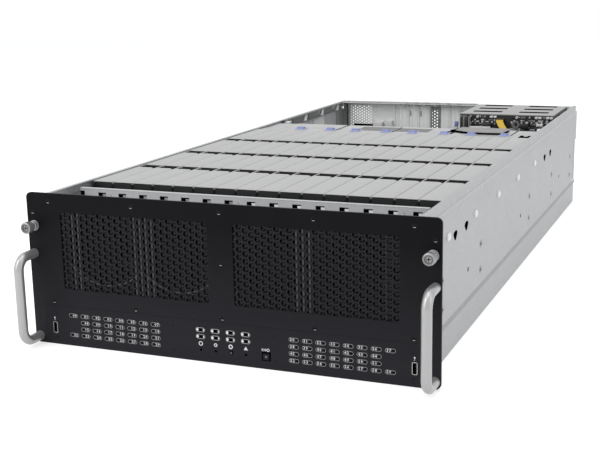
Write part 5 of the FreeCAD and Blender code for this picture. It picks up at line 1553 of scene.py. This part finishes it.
def rear_ports():
    """Sockets in the rear opening: plated and plastic shells round mouths in painted shade with a tongue each."""
    shells = {kind: bmesh.new() for kind in ("plated", "tab", "chip")}
    dark, tongues, pins = new_meshes(3)
    step = (PORT_ZONE[1] - PORT_ZONE[0]) / len(PORT_KINDS)
    back = REAR_FACE
    y = (back - 2 * step, back)
    for k, (kind, top) in enumerate(PORT_KINDS):
        x, z = around(PORT_ZONE[0] + step * (k + 0.5), step - 4.8), (BOARD_TOP, top)
        mouth_x, mouth_z = inside(x, PORT_WALL), inside(z, PORT_WALL)
        shell = shells[kind]
        for level in ((z[0], mouth_z[0]), (mouth_z[1], z[1])):
            add_box(shell, x, y, level)
        for wall in ((x[0], mouth_x[0]), (mouth_x[1], x[1])):
            add_box(shell, wall, y, mouth_z)
        add_box(dark, mouth_x, (y[0], back - 14), mouth_z)
        middle = sum(z) / 2
        for level in ((z[0] + middle) / 2, (z[1] + middle) / 2) if kind != "chip" else (middle,):
            add_box(tongues, inside(x, 3), (back - 14, back - 2), around(level, 2.2), 0.3)
            for pin in range(6):
                across = x[0] + (x[1] - x[0]) * (pin + 2) / 9
                add_box(pins, around(across, 0.9), (back - 12, back - 2.6), (level - 1.3, level - 1.05))
        if kind != "chip":
            add_box(shell, mouth_x, (back - 6, back), around(middle, PORT_WALL))
    for kind, shell in shells.items():
        piece("port_shells_" + kind, shell, kind)
    piece("port_hollows", dark, "hole")
    piece("port_tongues", tongues, "chip")
    piece("port_pins", pins, "gold")


SUPPLY_FAN_X = -19
INLET_X = 25.33
INLET_PINS = ((-5, -1.5), (0, 2), (5, -1.5))
LEVER_X = 5.5
GUARD_RINGS = (4.5, 8, 11.5, 14.6)
GUARD_WIRE = 0.8
SUPPLY_BLADES = 7
BLADE_TURN = 0.7
SUPPLY_HUB = [(0, 0), (0, 5.5), (8, 5.5), (8.6, 4.9), (8.6, 0)]


def supply_backs():
    """Fan guard and rotor, lead inlet with pins and release lever at the back of each supply, with painted shade behind
    the rotor and in the inlet.
    """
    back = REAR_FACE
    for node in ("psu_left", "psu_right"):
        middle = middle_of(box(node))
        x, z = middle.x, middle.z
        fan_x, inlet_x, lever_x = x + SUPPLY_FAN_X, x + INLET_X, around(x + LEVER_X, 8)
        guard, rotor, dark, pins, lever = new_meshes(5)
        for radius in GUARD_RINGS:
            add_turned(guard, (fan_x, back - 0.9, z), "Y", tube(0, GUARD_WIRE, *around(radius, GUARD_WIRE)), 32)
        for wide, tall in ((29, 0.9), (0.9, 29)):
            add_box(guard, around(fan_x, wide), (back - 1.5, back - 0.6), around(z, tall))
        add_turned(rotor, (fan_x, back - 12, z), "Y", SUPPLY_HUB, 24)
        blade = Matrix.Translation(metres((0, 0, 9.4))) @ Matrix.Diagonal(metres((7, 0.8, 8.4))).to_4x4()
        for k in range(SUPPLY_BLADES):
            turn = (Matrix.Translation(metres((fan_x, back - 7.5, z)))
                    @ Matrix.Rotation(2 * math.pi * k / SUPPLY_BLADES, 4, "Y") @ Matrix.Rotation(BLADE_TURN, 4, "Z"))
            bmesh.ops.create_cube(rotor, size=1.0, matrix=turn @ blade)
        # Painted shade: a dark disc behind the rotor and a dark box in the inlet.
        add_rod(dark, (fan_x, back - 15, z), "Y", 14.9, 1.6, 32)
        add_box(dark, around(inlet_x, 19.8), (back - 15.8, back - 11), around(z, 15.8))
        for shift, level in INLET_PINS:
            add_box(pins, around(inlet_x + shift, 1.6), (back - 11, back - 2), around(z + level, 4), 0.3)
        add_box(lever, lever_x, (back, back + 2), (z - 16, z - 3), 0.5)
        add_box(lever, lever_x, (back + 1.5, back + 8), (z - 16, z - 14), 0.6)
        for name, bm, finish, slot in (("guard", guard, "screw", "screw_steel"), ("rotor", rotor, "fan", "fan_black"),
                                       ("hollows", dark, "hole", "fan_black"),
                                       ("inlet_pins", pins, "plated", "plated_shell"),
                                       ("lever", lever, "tab", "module_grey")):
            piece(node + "_" + name, bm, finish, node)


def main():
    """Stage, finishes and every piece in turn."""
    add_stage()
    dress_nodes()
    front_mesh()
    filter_net()
    fan_rims()
    strip_print()
    panel_screws()
    thumbscrews()
    usb_sockets()
    lamp_lenses()
    carriers()
    lifted_disks()
    rail_details()
    fan_module_tops()
    wall_details()
    wall_folds()
    rear_covers()
    rear_crest()
    rear_sockets()
    channel_windows()
    power_parts()
    ribbon()
    mainboard_parts()
    memory_chips()
    rear_ports()
    supply_backs()


main()
